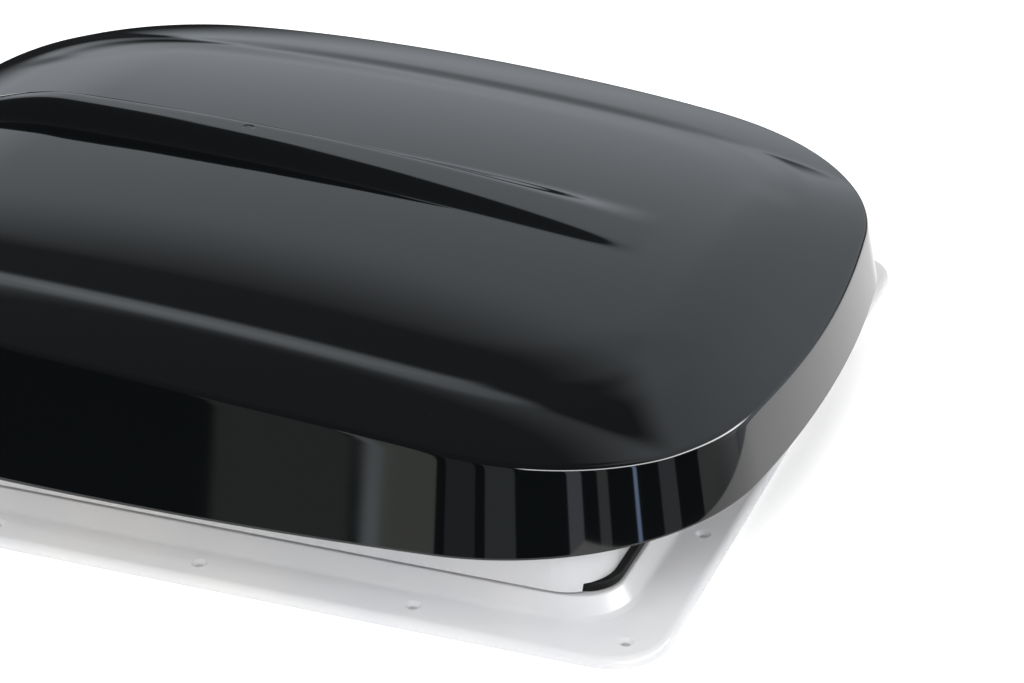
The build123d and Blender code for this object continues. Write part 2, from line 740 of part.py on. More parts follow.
# Hinge brackets on the frame, hinge arms on the lid
for side, way in sides.items():
    with BuildPart() as hinge_bracket:
        with BuildSketch(Plane.XY.offset(flange_t)):
            with Locations(((hinge_base_from_x + hinge_base_to_x) / 2, way * hinge_y)):
                Rectangle(hinge_base_to_x - hinge_base_from_x, hinge_base_len)
        extrude(amount=hinge_base_t)
        fillet(hinge_bracket.edges().filter_by(Axis.Z), hinge_base_t)
        for turn in (-1, 1):
            ear_y = way * hinge_y + turn * (hinge_knuckle_w / 2 + hinge_side_play + hinge_ear_t / 2)
            with BuildSketch(Plane.XZ.offset(-ear_y)):
                with Locations((hinge_x, hinge_z)):
                    Circle(hinge_eye_r)
                with Locations((hinge_x + hinge_ear_shift, (hinge_z + flange_t) / 2)):
                    Rectangle(2 * (hinge_eye_r - hinge_ear_shift), hinge_z - flange_t)
            extrude(amount=hinge_ear_t / 2, both=True)
        with BuildSketch(Plane.XZ.offset(-way * hinge_y)):
            with Locations((hinge_x, hinge_z)):
                Circle(hinge_pin_r + running_play)
        extrude(amount=hinge_base_len, both=True, mode=Mode.SUBTRACT)
        with BuildSketch(Plane.XY.offset(flange_t)):
            with Locations(bracket_screw_places(hinge_screw_x)):
                Circle(small_screw_r)
        extrude(amount=hinge_base_t, mode=Mode.SUBTRACT)
    save(hinge_bracket, f"hinge_bracket_{side}")
    with BuildPart() as hinge_arm:
        with BuildSketch(Plane.XZ.offset(-way * hinge_y)):
            with Locations((hinge_x, hinge_z)):
                Circle(hinge_eye_r)
            with Locations((hinge_x, (hinge_z + pan_flange_z) / 2)):
                Rectangle(2 * hinge_web_half, pan_flange_z - hinge_z)
        extrude(amount=hinge_knuckle_w / 2, both=True)
        with BuildSketch(Plane.XY.offset(pan_flange_z)):
            with Locations((hinge_x + hinge_pad_shift, way * hinge_y)):
                Rectangle(hinge_pad_w, hinge_pad_len)
        extrude(amount=-hinge_pad_t)
        with BuildSketch(Plane.XZ.offset(-way * hinge_y)):
            with Locations((hinge_x, hinge_z)):
                Circle(hinge_pin_r + running_play)
        extrude(amount=hinge_pad_len, both=True, mode=Mode.SUBTRACT)
        with BuildSketch(Plane.XY.offset(pan_flange_z)):
            with Locations(arm_screw_places()):
                Circle(small_screw_r)
        extrude(amount=-hinge_pad_t, mode=Mode.SUBTRACT)
    save(hinge_arm, f"hinge_arm_{side}")

# Hinge pins with their heads on the outer side of each bracket
with BuildPart() as hinge_pins:
    for way in sides.values():
        pin_from = way * (hinge_y - hinge_reach)
        pin_to = way * (hinge_y + hinge_reach)
        with BuildSketch(Plane.XZ.offset(-pin_from)):
            with Locations((hinge_x, hinge_z)):
                Circle(hinge_pin_r)
        extrude(amount=pin_from - pin_to)
        with BuildSketch(Plane.XZ.offset(-pin_to)):
            with Locations((hinge_x, hinge_z)):
                Circle(hinge_pin_head_r)
        extrude(amount=-way * hinge_pin_head_t)
save(hinge_pins, "hinge_pins")

# Screws of the hinge brackets, down into the flange
with BuildPart() as bracket_screws:
    with Locations([(x, y, flange_t + hinge_base_t) for x, y in bracket_screw_places(hinge_screw_x)]):
        add(head_screw(small_screw_r, small_head_r, small_head_t, small_screw_length))
save(bracket_screws, "bracket_screws")

# Screws of the hinge arms, up into the pan's flange
with BuildPart() as arm_screws:
    with Locations([(x, y, pan_flange_z - hinge_pad_t) for x, y in arm_screw_places()]):
        add(head_screw(small_screw_r, small_head_r, small_head_t, small_screw_length), rotation=(half_turn, 0, 0))
save(arm_screws, "arm_screws")

# Tracks: slotted plates that hang from the recess ceiling and guide the bow
for side, way in sides.items():
    with BuildPart() as bow_track:
        with BuildSketch(Plane.XZ.offset(-way * track_y)) as track_profile:
            with Locations((track_mid_x, (track_low_z + recess_ceiling_z) / 2)):
                Rectangle(track_len, recess_ceiling_z - track_low_z)
            fillet(track_profile.vertices().group_by(Axis.Y)[0], track_margin)
            with Locations((track_mid_x, hinge_z)):
                SlotCenterToCenter(track_travel, 2 * (sleeve_r + track_play), mode=Mode.SUBTRACT)
        extrude(amount=track_t / 2, both=True)
        with BuildSketch(Plane.XY.offset(recess_ceiling_z)):
            with Locations((track_mid_x, way * track_foot_y)):
                Rectangle(track_len, track_foot_w)
        extrude(amount=-track_foot_t)
        with BuildSketch(Plane.XY.offset(recess_ceiling_z)):
            with Locations(track_screw_places(way)):
                Circle(small_screw_r)
        extrude(amount=-track_foot_t, mode=Mode.SUBTRACT)
    save(bow_track, f"bow_track_{side}")
with BuildPart() as track_screws:
    for way in sides.values():
        with Locations([(x, y, recess_ceiling_z - track_foot_t) for x, y in track_screw_places(way)]):
            add(
                head_screw(small_screw_r, small_head_r, small_head_t, track_screw_length),
                rotation=(half_turn, 0, 0),
            )
save(track_screws, "track_screws")

# Lift bow: one rod bent to a U, with its ends turned outwards into the pivot blocks
bow_plane = Plane(
    origin=(bow_pivot_x, 0, bow_pivot_z),
    x_dir=(bow_bar_x - bow_pivot_x, 0, hinge_z - bow_pivot_z),
    z_dir=(bow_pivot_z - hinge_z, 0, bow_bar_x - bow_pivot_x),
)
with BuildPart() as lift_bow:
    with BuildLine(bow_plane) as bow_line:
        FilletPolyline(
            (0, -bow_stub_y),
            (0, -bow_arm_y),
            (bow_arm, -bow_arm_y),
            (bow_arm, bow_arm_y),
            (0, bow_arm_y),
            (0, bow_stub_y),
            radius=(bow_stub_r, bow_bend_r, bow_bend_r, bow_stub_r),
        )
    with BuildSketch(Plane.XZ.offset(bow_stub_y)):
        with Locations((bow_pivot_x, bow_pivot_z)):
            Circle(bow_rod_r)
    sweep(path=bow_line.wire())
save(lift_bow, "lift_bow")

# Glide sleeves of the bow, in the track slots
for side, way in sides.items():
    with BuildPart() as bow_sleeve:
        with BuildSketch(Plane.XZ.offset(-way * track_y)):
            with Locations((bow_bar_x, hinge_z)):
                Circle(sleeve_r)
                Circle(bow_rod_r, mode=Mode.SUBTRACT)
        extrude(amount=sleeve_len / 2, both=True)
    save(bow_sleeve, f"bow_sleeve_{side}")

# Grip in the middle of the bow's cross bar, with finger grooves
with BuildPart() as bow_grip:
    with BuildSketch(Plane.XZ):
        with Locations((bow_bar_x, hinge_z)):
            Circle(grip_r)
            Circle(bow_rod_r, mode=Mode.SUBTRACT)
    extrude(amount=grip_len / 2, both=True)
    fillet(bow_grip.edges().group_by(Axis.Y)[0].sort_by(Edge.length)[-1:], grip_end_r)
    fillet(bow_grip.edges().group_by(Axis.Y)[-1].sort_by(Edge.length)[-1:], grip_end_r)
    for i in range(grip_groove_count):
        groove_y = (i - (grip_groove_count - 1) / 2) * grip_groove_pitch
        with Locations(Location((bow_bar_x, groove_y, hinge_z), (quarter_turn, 0, 0))):
            Torus(grip_r, grip_groove_r, mode=Mode.SUBTRACT)
save(bow_grip, "bow_grip")

# Pivot blocks of the bow, on the inner wall of the neck
for side, way in sides.items():
    with BuildPart() as pivot_block:
        with BuildSketch(Plane.XZ.offset(-way * neck_inner_half)):
            with Locations((bow_pivot_x, (block_low_z + block_top_z) / 2)):
                RectangleRounded(block_len, block_top_z - block_low_z, bow_rod_r)
        extrude(amount=way * block_t)
        with BuildSketch(Plane.XZ.offset(-way * (neck_inner_half - block_t))):
            with Locations((bow_pivot_x, bow_pivot_z)):
                Circle(bow_rod_r + block_play)
        extrude(amount=-way * (bow_stub_y + seat_gap - neck_inner_half + block_t), mode=Mode.SUBTRACT)
        with BuildSketch(Plane.XZ.offset(-way * neck_inner_half)):
            with Locations(block_screw_places()):
                Circle(small_screw_r)
        extrude(amount=way * block_t, mode=Mode.SUBTRACT)
    save(pivot_block, f"pivot_block_{side}")
with BuildPart() as block_screws:
    for way in sides.values():
        for place_x, place_z in block_screw_places():
            with Locations((place_x, way * (neck_inner_half - block_t), place_z)):
                add(
                    head_screw(small_screw_r, small_head_r, small_head_t, block_t + neck_wall / 2),
                    rotation=(way * quarter_turn, 0, 0),
                )
save(block_screws, "block_screws")

# Latches: turning levers under the pan, drawn released, with the tongue along the wall
for side, way in sides.items():
    with BuildPart() as latch:
        with BuildSketch(Plane.XY.offset(latch_low_z)):
            with Locations((latch_x, way * latch_y)):
                Circle(latch_hub_r)
        extrude(amount=seal_seat_z - seat_gap - latch_low_z)
        with BuildSketch(Plane.XY.offset(latch_low_z)):
            with Locations((latch_x, way * (latch_y + latch_tongue_len / 2))):
                Rectangle(latch_tongue_w, latch_tongue_len)
            with Locations((latch_x, way * (latch_y - latch_grip_len / 2))):
                Rectangle(latch_grip_w, latch_grip_len)
        extrude(amount=latch_bar_t)
        fillet(latch.edges().filter_by(Axis.Z).filter_by(lambda e: e.length < latch_bar_t + seat_gap), latch_edge_r)
        with BuildSketch(Plane.XY.offset(latch_low_z)):
            with Locations((latch_x, way * latch_y)):
                Circle(latch_bolt_r + running_play)
        extrude(amount=seal_seat_z - latch_low_z, mode=Mode.SUBTRACT)
    save(latch, f"latch_{side}")

# Bolts and nuts that carry the latches on the pan
with BuildPart() as latch_bolts:
    for way in sides.values():
        with BuildSketch(Plane.XY.offset(latch_low_z - seat_gap / 2)):
            with Locations((latch_x, way * latch_y)):
                Circle(latch_bolt_r)
        extrude(amount=pan_floor_z + latch_nut_t - latch_low_z + seat_gap / 2)
        with BuildSketch(Plane.XY.offset(latch_low_z - seat_gap / 2)):
            with Locations((latch_x, way * latch_y)):
                Circle(latch_bolt_head_r)
        extrude(amount=-latch_bolt_head_t)
save(latch_bolts, "latch_bolts")
with BuildPart() as latch_nuts:
    with BuildSketch(Plane.XY.offset(pan_floor_z)):
        with Locations([(latch_x, way * latch_y) for way in sides.values()]):
            RegularPolygon(latch_nut_r, latch_nut_sides)
            Circle(latch_bolt_r, mode=Mode.SUBTRACT)
    extrude(amount=latch_nut_t)
save(latch_nuts, "latch_nuts")

# Keepers: bent plates on the neck that the latch tongues turn under
for side, way in sides.items():
    with BuildPart() as keeper:
        with BuildSketch(Plane.XZ.offset(-way * latch_y)):
            with Locations((keeper_wall_x + keeper_t / 2, (keeper_low_z + keeper_top_z) / 2)):
                Rectangle(keeper_t, keeper_top_z - keeper_low_z)
            with Locations((keeper_wall_x + keeper_reach / 2, keeper_top_z - keeper_t / 2)):
                Rectangle(keeper_reach, keeper_t)
        extrude(amount=keeper_len / 2, both=True)
        with BuildSketch(Plane.YZ.offset(keeper_wall_x)):
            with Locations(keeper_screw_places(way)):
                Circle(small_screw_r)
        extrude(amount=keeper_t, mode=Mode.SUBTRACT)
    save(keeper, f"keeper_{side}")
with BuildPart() as keeper_screws:
    for way in sides.values():
        for place_y, place_z in keeper_screw_places(way):
            with Locations((keeper_wall_x + keeper_t, place_y, place_z)):
                add(
                    head_screw(small_screw_r, keeper_head_r, keeper_head_t, keeper_t + neck_wall / 2),
                    rotation=(0, quarter_turn, 0),
                )
save(keeper_screws, "keeper_screws")

# Inner trim frame: slim frame under the neck, with a collar up into it
with BuildPart() as inner_trim:
    with BuildSketch(Plane.XY.offset(trim_low_z)):
        RectangleRounded(2 * trim_half, 2 * trim_half, trim_corner_r)
    extrude(amount=trim_t)
    with BuildSketch(Plane.XY.offset(trim_low_z)):
        RectangleRounded(2 * trim_half, 2 * trim_half, trim_corner_r)
        RectangleRounded(
            2 * (trim_half - trim_rim_w),
            2 * (trim_half - trim_rim_w),
            trim_corner_r - trim_rim_w,
            mode=Mode.SUBTRACT,
        )
    extrude(amount=-trim_rim_h)
    fillet(inner_trim.edges().group_by(Axis.Z)[0], trim_edge_r)
    with BuildSketch(Plane.XY.offset(trim_low_z)):
        RectangleRounded(2 * collar_half, 2 * collar_half, collar_corner_r)
    extrude(amount=collar_top_z - trim_low_z)
    with BuildSketch(Plane.XY.offset(trim_low_z)):
        RectangleRounded(2 * collar_inner_half, 2 * collar_inner_half, collar_corner_r - collar_wall)
    extrude(amount=collar_top_z - trim_low_z, mode=Mode.SUBTRACT)
    with BuildSketch(Plane.XY.offset(trim_low_z)):
        with Locations(trim_screw_places()):
            Circle(trim_screw_r)
    extrude(amount=trim_t, mode=Mode.SUBTRACT)
    with Locations([(x, y, trim_low_z) for x, y in trim_screw_places()]):
        Cone(
            trim_screw_head_r,
            trim_screw_r,
            trim_screw_head_r - trim_screw_r,
            align=(Align.CENTER, Align.CENTER, Align.MIN),
            mode=Mode.SUBTRACT,
        )
    with BuildSketch(Plane.XZ):
        with Locations((screen_axis_x, screen_axis_z)):
            Circle(screen_pin_r)
    extrude(amount=collar_half + cut_overrun, both=True, mode=Mode.SUBTRACT)
    with BuildSketch(Plane.XY.offset(trim_low_z)):
        with Locations(clip_places()):
            Circle(clip_screw_r)
    extrude(amount=trim_t, mode=Mode.SUBTRACT)
save(inner_trim, "inner_trim")

# Trim screws and the caps over their heads
with BuildPart() as trim_screws:
    with Locations([(x, y, trim_low_z) for x, y in trim_screw_places()]):
        add(flat_screw(trim_screw_r, trim_screw_head_r, trim_screw_length), rotation=(half_turn, 0, 0))
save(trim_screws, "trim_screws")
with BuildPart() as screw_caps:
    with BuildSketch(Plane.XY.offset(trim_low_z)):
        with Locations(trim_screw_places()):
            Circle(cap_r)
    extrude(amount=-cap_t)
    fillet(screw_caps.edges().group_by(Axis.Z)[0], cap_edge_r)
save(screw_caps, "screw_caps")

# Flyscreen frame with a groove for the net and a finger notch on the latch side
with BuildPart() as screen_frame:
    with BuildSketch(Plane.XY.offset(screen_low_z)):
        RectangleRounded(2 * screen_half, 2 * screen_half, screen_corner_r)
        RectangleRounded(2 * screen_inner_half, 2 * screen_inner_half, screen_corner_r / 2, mode=Mode.SUBTRACT)
    extrude(amount=screen_t)
    with BuildSketch(Plane.XY.offset(net_low_z)):
        RectangleRounded(2 * net_half, 2 * net_half, screen_corner_r / 2)
    extrude(amount=net_t, mode=Mode.SUBTRACT)
    for way in sides.values():
        with BuildSketch(Plane.XZ.offset(-way * screen_half)):
            with Locations((screen_axis_x, screen_axis_z)):
                Circle(screen_pin_r + running_play)
        extrude(amount=way * screen_pin_length, mode=Mode.SUBTRACT)
    with BuildSketch(Plane.XY.offset(screen_low_z)):
        with Locations((-screen_half, 0)):
            Rectangle(2 * finger_notch_depth, finger_notch_len)
    extrude(amount=finger_notch_h, mode=Mode.SUBTRACT)
save(screen_frame, "screen_frame")

# Flyscreen net, drawn coarse
with BuildPart() as screen_net:
    with BuildSketch(Plane.XY.offset(net_low_z)):
        RectangleRounded(2 * net_half, 2 * net_half, screen_corner_r / 2)
        with GridLocations(net_pitch, net_pitch, net_cells, net_cells):
            Rectangle(net_pitch - net_strand, net_pitch - net_strand, mode=Mode.SUBTRACT)
    extrude(amount=net_t)
save(screen_net, "screen_net")

# Pins of the flyscreen hinge, pressed through the collar
with BuildPart() as screen_pins:
    for way in sides.values():
        with BuildSketch(Plane.XZ.offset(-way * collar_half)):
            with Locations((screen_axis_x, screen_axis_z)):
                Circle(screen_pin_r)
        extrude(amount=way * screen_pin_length)
save(screen_pins, "screen_pins")

# Clips that turn under the flyscreen frame, drawn released, and their screws
for side, way in sides.items():
    with BuildPart() as screen_clip:
        with BuildSketch(Plane.XY.offset(trim_low_z - seat_gap)):
            with Locations((-boss_half, way * clip_y)):
                Circle(clip_w / 2)
            with Locations((-boss_half, way * (clip_y - clip_reach / 2))):
                Rectangle(clip_w, clip_reach)
        extrude(amount=-clip_t)
        fillet(screen_clip.edges().filter_by(Axis.Z), clip_t / 2)
        with Locations((-boss_half, way * clip_y, trim_low_z - seat_gap - clip_t)):
            Cone(
                clip_screw_head_r + running_play,
                clip_screw_r + running_play,
                clip_screw_head_r - clip_screw_r,
                align=(Align.CENTER, Align.CENTER, Align.MIN),
                mode=Mode.SUBTRACT,
            )
            Cylinder(
                clip_screw_r + running_play,
                clip_t,
                align=(Align.CENTER, Align.CENTER, Align.MIN),
                mode=Mode.SUBTRACT,
            )
    save(screen_clip, f"screen_clip_{side}")
with BuildPart() as clip_screws:
    with Locations([(x, y, trim_low_z - seat_gap - clip_t) for x, y in clip_places()]):
        add(flat_screw(clip_screw_r, clip_screw_head_r, clip_screw_length), rotation=(half_turn, 0, 0))
save(clip_screws, "clip_screws")
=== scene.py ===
import json
import logging
import math
from collections.abc import Callable, Iterable
from dataclasses import dataclass
from enum import Enum

import bmesh
import bpy
import numpy as np
from mathutils import Matrix, Vector


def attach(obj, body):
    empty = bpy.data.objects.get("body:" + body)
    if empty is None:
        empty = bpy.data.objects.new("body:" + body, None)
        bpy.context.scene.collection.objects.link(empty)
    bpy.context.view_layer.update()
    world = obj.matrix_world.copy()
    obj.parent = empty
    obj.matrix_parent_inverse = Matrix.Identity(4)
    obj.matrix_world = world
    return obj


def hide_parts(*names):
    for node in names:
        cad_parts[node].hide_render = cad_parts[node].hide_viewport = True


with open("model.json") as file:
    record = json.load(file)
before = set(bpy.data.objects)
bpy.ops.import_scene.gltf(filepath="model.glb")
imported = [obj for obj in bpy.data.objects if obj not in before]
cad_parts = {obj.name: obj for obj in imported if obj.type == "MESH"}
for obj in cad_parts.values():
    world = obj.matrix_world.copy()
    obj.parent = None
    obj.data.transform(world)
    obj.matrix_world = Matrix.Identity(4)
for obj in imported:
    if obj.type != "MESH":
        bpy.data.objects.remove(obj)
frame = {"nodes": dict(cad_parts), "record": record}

Tree = bpy.types.NodeTree
Node = bpy.types.Node
Socket = bpy.types.NodeSocket
Piece = bpy.types.Object
Point = tuple[float, float, float]
Span = tuple[float, float]
Outline = list[tuple[float, float]]
Face = tuple[int, ...]

LOG = logging.getLogger("roof_vent")
MM = 0.001
MERGE = 1e-6
TINY = 1e-9
MATH = "ShaderNodeMath"
VECTOR_MATH = "ShaderNodeVectorMath"
VECTOR = "ShaderNodeCombineXYZ"
RAMP = "ShaderNodeMapRange"
VORONOI = "ShaderNodeTexVoronoi"
BACKGROUND = "ShaderNodeBackground"
TIMES = {"operation": "MULTIPLY"}
EASED = {"interpolation_type": "SMOOTHSTEP"}
END_SHARE = 0.2
TURN_SEED = 7
FLAT_ANGLE = math.radians(0.5)
EDGE_STEPS = 2
SIDES = ("front", "back")


class Body(Enum):
    """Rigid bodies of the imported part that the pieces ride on."""

    FRAME = "frame"
    LID = "lid"
    SCREEN = "screen"


class Head(Enum):
    """Shapes of a screw's head."""

    ROUND = "round"
    FLAT = "flat"


# Nodes and colours


def linear(hex_colour: str) -> tuple[float, float, float, float]:
    """Turn an sRGB hex colour into linear values.

    Args:
        hex_colour: Colour as "#RRGGBB".

    Returns:
        Linear red, green, blue and an alpha of one.
    """
    parts = [int(hex_colour[i : i + 2], 16) / 255 for i in (1, 3, 5)]
    lin = [p / 12.92 if p <= 0.04045 else ((p + 0.055) / 1.055) ** 2.4 for p in parts]
    return (lin[0], lin[1], lin[2], 1.0)


def add_node(
    tree: Tree,
    kind: str,
    inputs: dict[str | int, object] | None = None,
    settings: dict[str, object] | None = None,
) -> Node:
    """Add one node with its settings, values and links.

    Args:
        tree: Tree that gets the node.
        kind: Blender's name of the node type.
        inputs: Values, output sockets or nodes by input name or number; a node gives its first output.
        settings: Properties of the node itself.

    Returns:
        The new node.
    """
    node = tree.nodes.new(kind)
    for key, value in (settings or {}).items():
        setattr(node, key, value)
    for key, value in (inputs or {}).items():
        socket = node.inputs[key]
        if isinstance(value, Node):
            value = value.outputs[0]
        if isinstance(value, Socket):
            tree.links.new(value, socket)
        else:
            socket.default_value = value
    return node


def spread(value: Socket | Node, span: Span, low: float = 0.0, high: float = 1.0) -> dict[str | int, object]:
    """Name the inputs that run from a low to a high level as a value passes through a span.

    Args:
        value: The value, as a socket or a node.
        span: Where the run starts and ends.
        low: Level at the start.
        high: Level at the end.

    Returns:
        Values by input name.
    """
    return {"Value": value, "From Min": span[0], "From Max": span[1], "To Min": low, "To Max": high}


# Finishes


@dataclass(frozen=True)
class Surface:
    """The tree, the main shader and the coordinates of a material that is being made."""

    tree: Tree
    shader: Node
    place: Socket
    colour: str

    def blots(
        self,
        size_mm: float,
        detail: float = 2.0,
        span: Span | None = None,
        low: float = 0.0,
        high: float = 1.0,
    ) -> Node:
        """Cloudy pattern, stretched if a span of its greys is given to run from a low to a high level.

        Args:
            size_mm: Real size of one blot in millimetres.
            detail: Finer layers in the pattern.
            span: Greys where the run starts and ends.
            low: Level at the start of the span.
            high: Level at its end.

        Returns:
            The pattern's node.
        """
        inputs = {"Vector": self.place, "Scale": 1.0 / (size_mm * MM), "Detail": detail}
        cloud = add_node(self.tree, "ShaderNodeTexNoise", inputs)
        return add_node(self.tree, RAMP, spread(cloud, span, low, high)) if span else cloud

    def tone(self, share: Socket | Node, other: str) -> None:
        """Let a share turn the finish's colour into another tone.

        Args:
            share: Share of the other tone, from 0 to 1.
            other: The other tone as a hex colour.
        """
        mix = add_node(self.tree, "ShaderNodeMix", {0: share}, {"data_type": "RGBA"})
        mix.inputs[6].default_value = linear(self.colour)
        mix.inputs[7].default_value = linear(other)
        self.tree.links.new(mix.outputs[2], self.shader.inputs["Base Color"])

    def bump(self, height: Socket | Node, depth_mm: float, under: Node | None = None) -> Node:
        """Raise the surface by a height pattern.

        Args:
            height: Pattern from 0 to 1.
            depth_mm: Real depth of the pattern in millimetres.
            under: Normal of a coarser pattern below this one.

        Returns:
            The node that gives the bumped normal.
        """
        inputs: dict[str | int, object] = {"Height": height, "Distance": depth_mm * MM, "Strength": 1.0}
        if under is not None:
            inputs["Normal"] = under
        raised = add_node(self.tree, "ShaderNodeBump", inputs)
        self.tree.links.new(raised.outputs[0], self.shader.inputs["Normal"])
        return raised


@dataclass(frozen=True)
class Finish:
    """A material named for what the real one is, with the values that its surface shows."""

    name: str
    colour: str
    roughness: float
    ior: float = 1.5
    metallic: float = 0.0

    def material(self) -> bpy.types.Material:
        """Make the finish's material, or find it if it was made before.

        Returns:
            The material.
        """
        made = bpy.data.materials.get(self.name)
        if made:
            return made
        made = bpy.data.materials.new(self.name)
        made.use_nodes = True
        tree = made.node_tree
        shader = tree.nodes["Principled BSDF"]
        shader.inputs["Base Color"].default_value = linear(self.colour)
        shader.inputs["Roughness"].default_value = self.roughness
        shader.inputs["Metallic"].default_value = self.metallic
        if not self.metallic:
            shader.inputs["IOR"].default_value = self.ior
        place = add_node(tree, "ShaderNodeTexCoord").outputs["Object"]
        self.pattern(Surface(tree, shader, place, self.colour))
        return made

    def pattern(self, surface: Surface) -> None:
        """Add what the surface shows from near; each finish has its own."""


@dataclass(frozen=True)
class PolishedAcrylic(Finish):
    """Near-black coloured acrylic sheet, thermoformed: deep gloss, faint haze, sparse dust, one gate dent."""

    haze_mm: float = 60.0
    haze_span: Span = (0.3, 0.7)
    haze_low: float = 0.75
    haze_high: float = 1.4
    wave_mm: float = 90.0
    wave_depth_mm: float = 0.02
    dust: str = "#9DA3A8"
    dust_mm: float = 2.6
    dust_share: float = 0.055
    dust_level: float = 0.55
    dust_rarity: float = 0.93
    dent_x_mm: float = -77.0
    dent_r_mm: float = 4.0
    dent_flat_share: float = 0.55
    dent_depth_mm: float = 0.6

    def pattern(self, surface: Surface) -> None:
        """Add haze in the gloss, a slow forming wave, dust specks and the gate dent.

        Args:
            surface: The material that is being made.
        """
        tree = surface.tree
        low, high = self.roughness * self.haze_low, self.roughness * self.haze_high
        haze = surface.blots(self.haze_mm, 3.0, self.haze_span, low, high)
        tree.links.new(haze.outputs[0], surface.shader.inputs["Roughness"])
        scale = 1.0 / (self.dust_mm * MM)
        specks = add_node(tree, VORONOI, {"Vector": surface.place, "Scale": scale}).outputs
        dot = add_node(tree, RAMP, spread(specks["Distance"], (self.dust_share, 0.0), 0.0, self.dust_level))
        chance = add_node(tree, "ShaderNodeSeparateColor", {"Color": specks["Color"]})
        rare = add_node(tree, MATH, {0: chance, 1: self.dust_rarity}, {"operation": "GREATER_THAN"})
        surface.tone(add_node(tree, MATH, {0: dot, 1: rare}, TIMES), self.dust)
        wave = surface.bump(surface.blots(self.wave_mm, 1.0), self.wave_depth_mm)
        flat = add_node(tree, VECTOR_MATH, {0: surface.place, 1: (1.0, 1.0, 0.0)}, TIMES)
        middle = {0: flat, 1: (self.dent_x_mm * MM, 0.0, 0.0)}
        away = add_node(tree, VECTOR_MATH, middle, {"operation": "DISTANCE"}).outputs["Value"]
        dent_r = self.dent_r_mm * MM
        dent = add_node(tree, RAMP, spread(away, (dent_r * self.dent_flat_share, dent_r)), EASED)
        surface.bump(dent, self.dent_depth_mm, wave)


@dataclass(frozen=True)
class MouldedGloss(Finish):
    """Injection-moulded white ASA: even gloss with soft sink waves and a fine orange peel."""

    shade: str = "#D1D2D5"
    span: Span = (0.35, 0.7)
    sink_mm: float = 45.0
    sink_depth_mm: float = 0.03
    peel_mm: float = 1.6
    peel_depth_mm: float = 0.002

    def pattern(self, surface: Surface) -> None:
        """Add the sink waves, the orange peel and a slow change of tone.

        Args:
            surface: The material that is being made.
        """
        surface.tone(surface.blots(self.sink_mm * 2, span=self.span), self.shade)
        sink = surface.bump(surface.blots(self.sink_mm, 1.0), self.sink_depth_mm)
        surface.bump(surface.blots(self.peel_mm, 1.0), self.peel_depth_mm, sink)


@dataclass(frozen=True)
class GrainedPlastic(Finish):
    """Moulded nylon with a spark-eroded grain: matt, with small pits that catch the light."""

    shade: str = "#3A3D40"
    shade_mm: float = 20.0
    span: Span = (0.3, 0.7)
    grain_mm: float = 0.9
    grain_depth_mm: float = 0.05

    def pattern(self, surface: Surface) -> None:
        """Add the pits, drawn twice as coarse as real so that they show.

        Args:
            surface: The material that is being made.
        """
        surface.tone(surface.blots(self.shade_mm, span=self.span), self.shade)
        scale = 1.0 / (self.grain_mm * MM)
        pits = add_node(surface.tree, VORONOI, {"Vector": surface.place, "Scale": scale})
        surface.bump(pits, self.grain_depth_mm)


@dataclass(frozen=True)
class ExtrudedRubber(Finish):
    """Extruded EPDM: deep black with a waxy bloom and fine die marks."""

    bloom: str = "#101112"
    bloom_mm: float = 9.0
    span: Span = (0.4, 0.8)
    shine: float = 0.2
    mark_mm: float = 0.7
    mark_depth_mm: float = 0.03

    def pattern(self, surface: Surface) -> None:
        """Add the bloom and the die marks.

        Args:
            surface: The material that is being made.
        """
        surface.tone(surface.blots(self.bloom_mm, span=self.span), self.bloom)
        surface.shader.inputs["Specular IOR Level"].default_value = self.shine
        surface.bump(surface.blots(self.mark_mm), self.mark_depth_mm)


@dataclass(frozen=True)
class ClosedCellFoam(Finish):
    """Closed-cell foam strip: dull grey skin with cut bubbles, and painted shade that darkens the bubbles'
    hollows.
    """

    wall_tone_over_pit_shade: str = "#55585B"
    cell_mm: float = 0.8
    cell_depth_mm: float = 0.15

    def pattern(self, surface: Surface) -> None:
        """Add the cut bubbles, and painted shade that darkens each hollow towards its deepest point.

        Args:
            surface: The material that is being made.
        """
        scale = 1.0 / (self.cell_mm * MM)
        bubbles_and_pit_shade = add_node(surface.tree, VORONOI, {"Vector": surface.place, "Scale": scale})
        # Painted shade: the depth pattern that makes the bump also sets the colour, so each hollow is darker
        # than the cell walls round it.
        surface.tone(bubbles_and_pit_shade, self.wall_tone_over_pit_shade)
        surface.bump(bubbles_and_pit_shade, self.cell_depth_mm)


@dataclass(frozen=True)
class TurnedSteel(Finish):
    """Stainless steel, cold headed and tumbled: bright with a soft uneven sheen."""

    sheen_mm: float = 1.5
    sheen_span: Span = (0.3, 0.7)
    sheen_low: float = 0.7
    sheen_high: float = 1.5
    ding_mm: float = 0.8
    ding_depth_mm: float = 0.01

    def pattern(self, surface: Surface) -> None:
        """Add the uneven sheen and the small dings of tumbling.

        Args:
            surface: The material that is being made.
        """
        low, high = self.roughness * self.sheen_low, self.roughness * self.sheen_high
        sheen = surface.blots(self.sheen_mm, 3.0, self.sheen_span, low, high)
        surface.tree.links.new(sheen.outputs[0], surface.shader.inputs["Roughness"])
        surface.bump(surface.blots(self.ding_mm), self.ding_depth_mm)


@dataclass(frozen=True)
class PowderCoat(Finish):
    """Baked powder coat on steel: satin, with a close orange peel."""

    shade: str = "#BFC2C4"
    shade_mm: float = 12.0
    span: Span = (0.3, 0.8)
    peel_mm: float = 1.1
    peel_depth_mm: float = 0.02

    def pattern(self, surface: Surface) -> None:
        """Add the orange peel and a slight change of tone.

        Args:
            surface: The material that is being made.
        """
        surface.tone(surface.blots(self.shade_mm, span=self.span), self.shade)
        surface.bump(surface.blots(self.peel_mm), self.peel_depth_mm)


@dataclass(frozen=True)
class WovenYarn(PowderCoat):
    """Coated glass-fibre yarn: dark grey, a little shiny, with uneven coating along the strands."""

    shade: str = "#4A4E52"
    shade_mm: float = 2.5
    span: Span = (0.3, 0.7)
    peel_mm: float = 0.6
    peel_depth_mm: float = 0.03


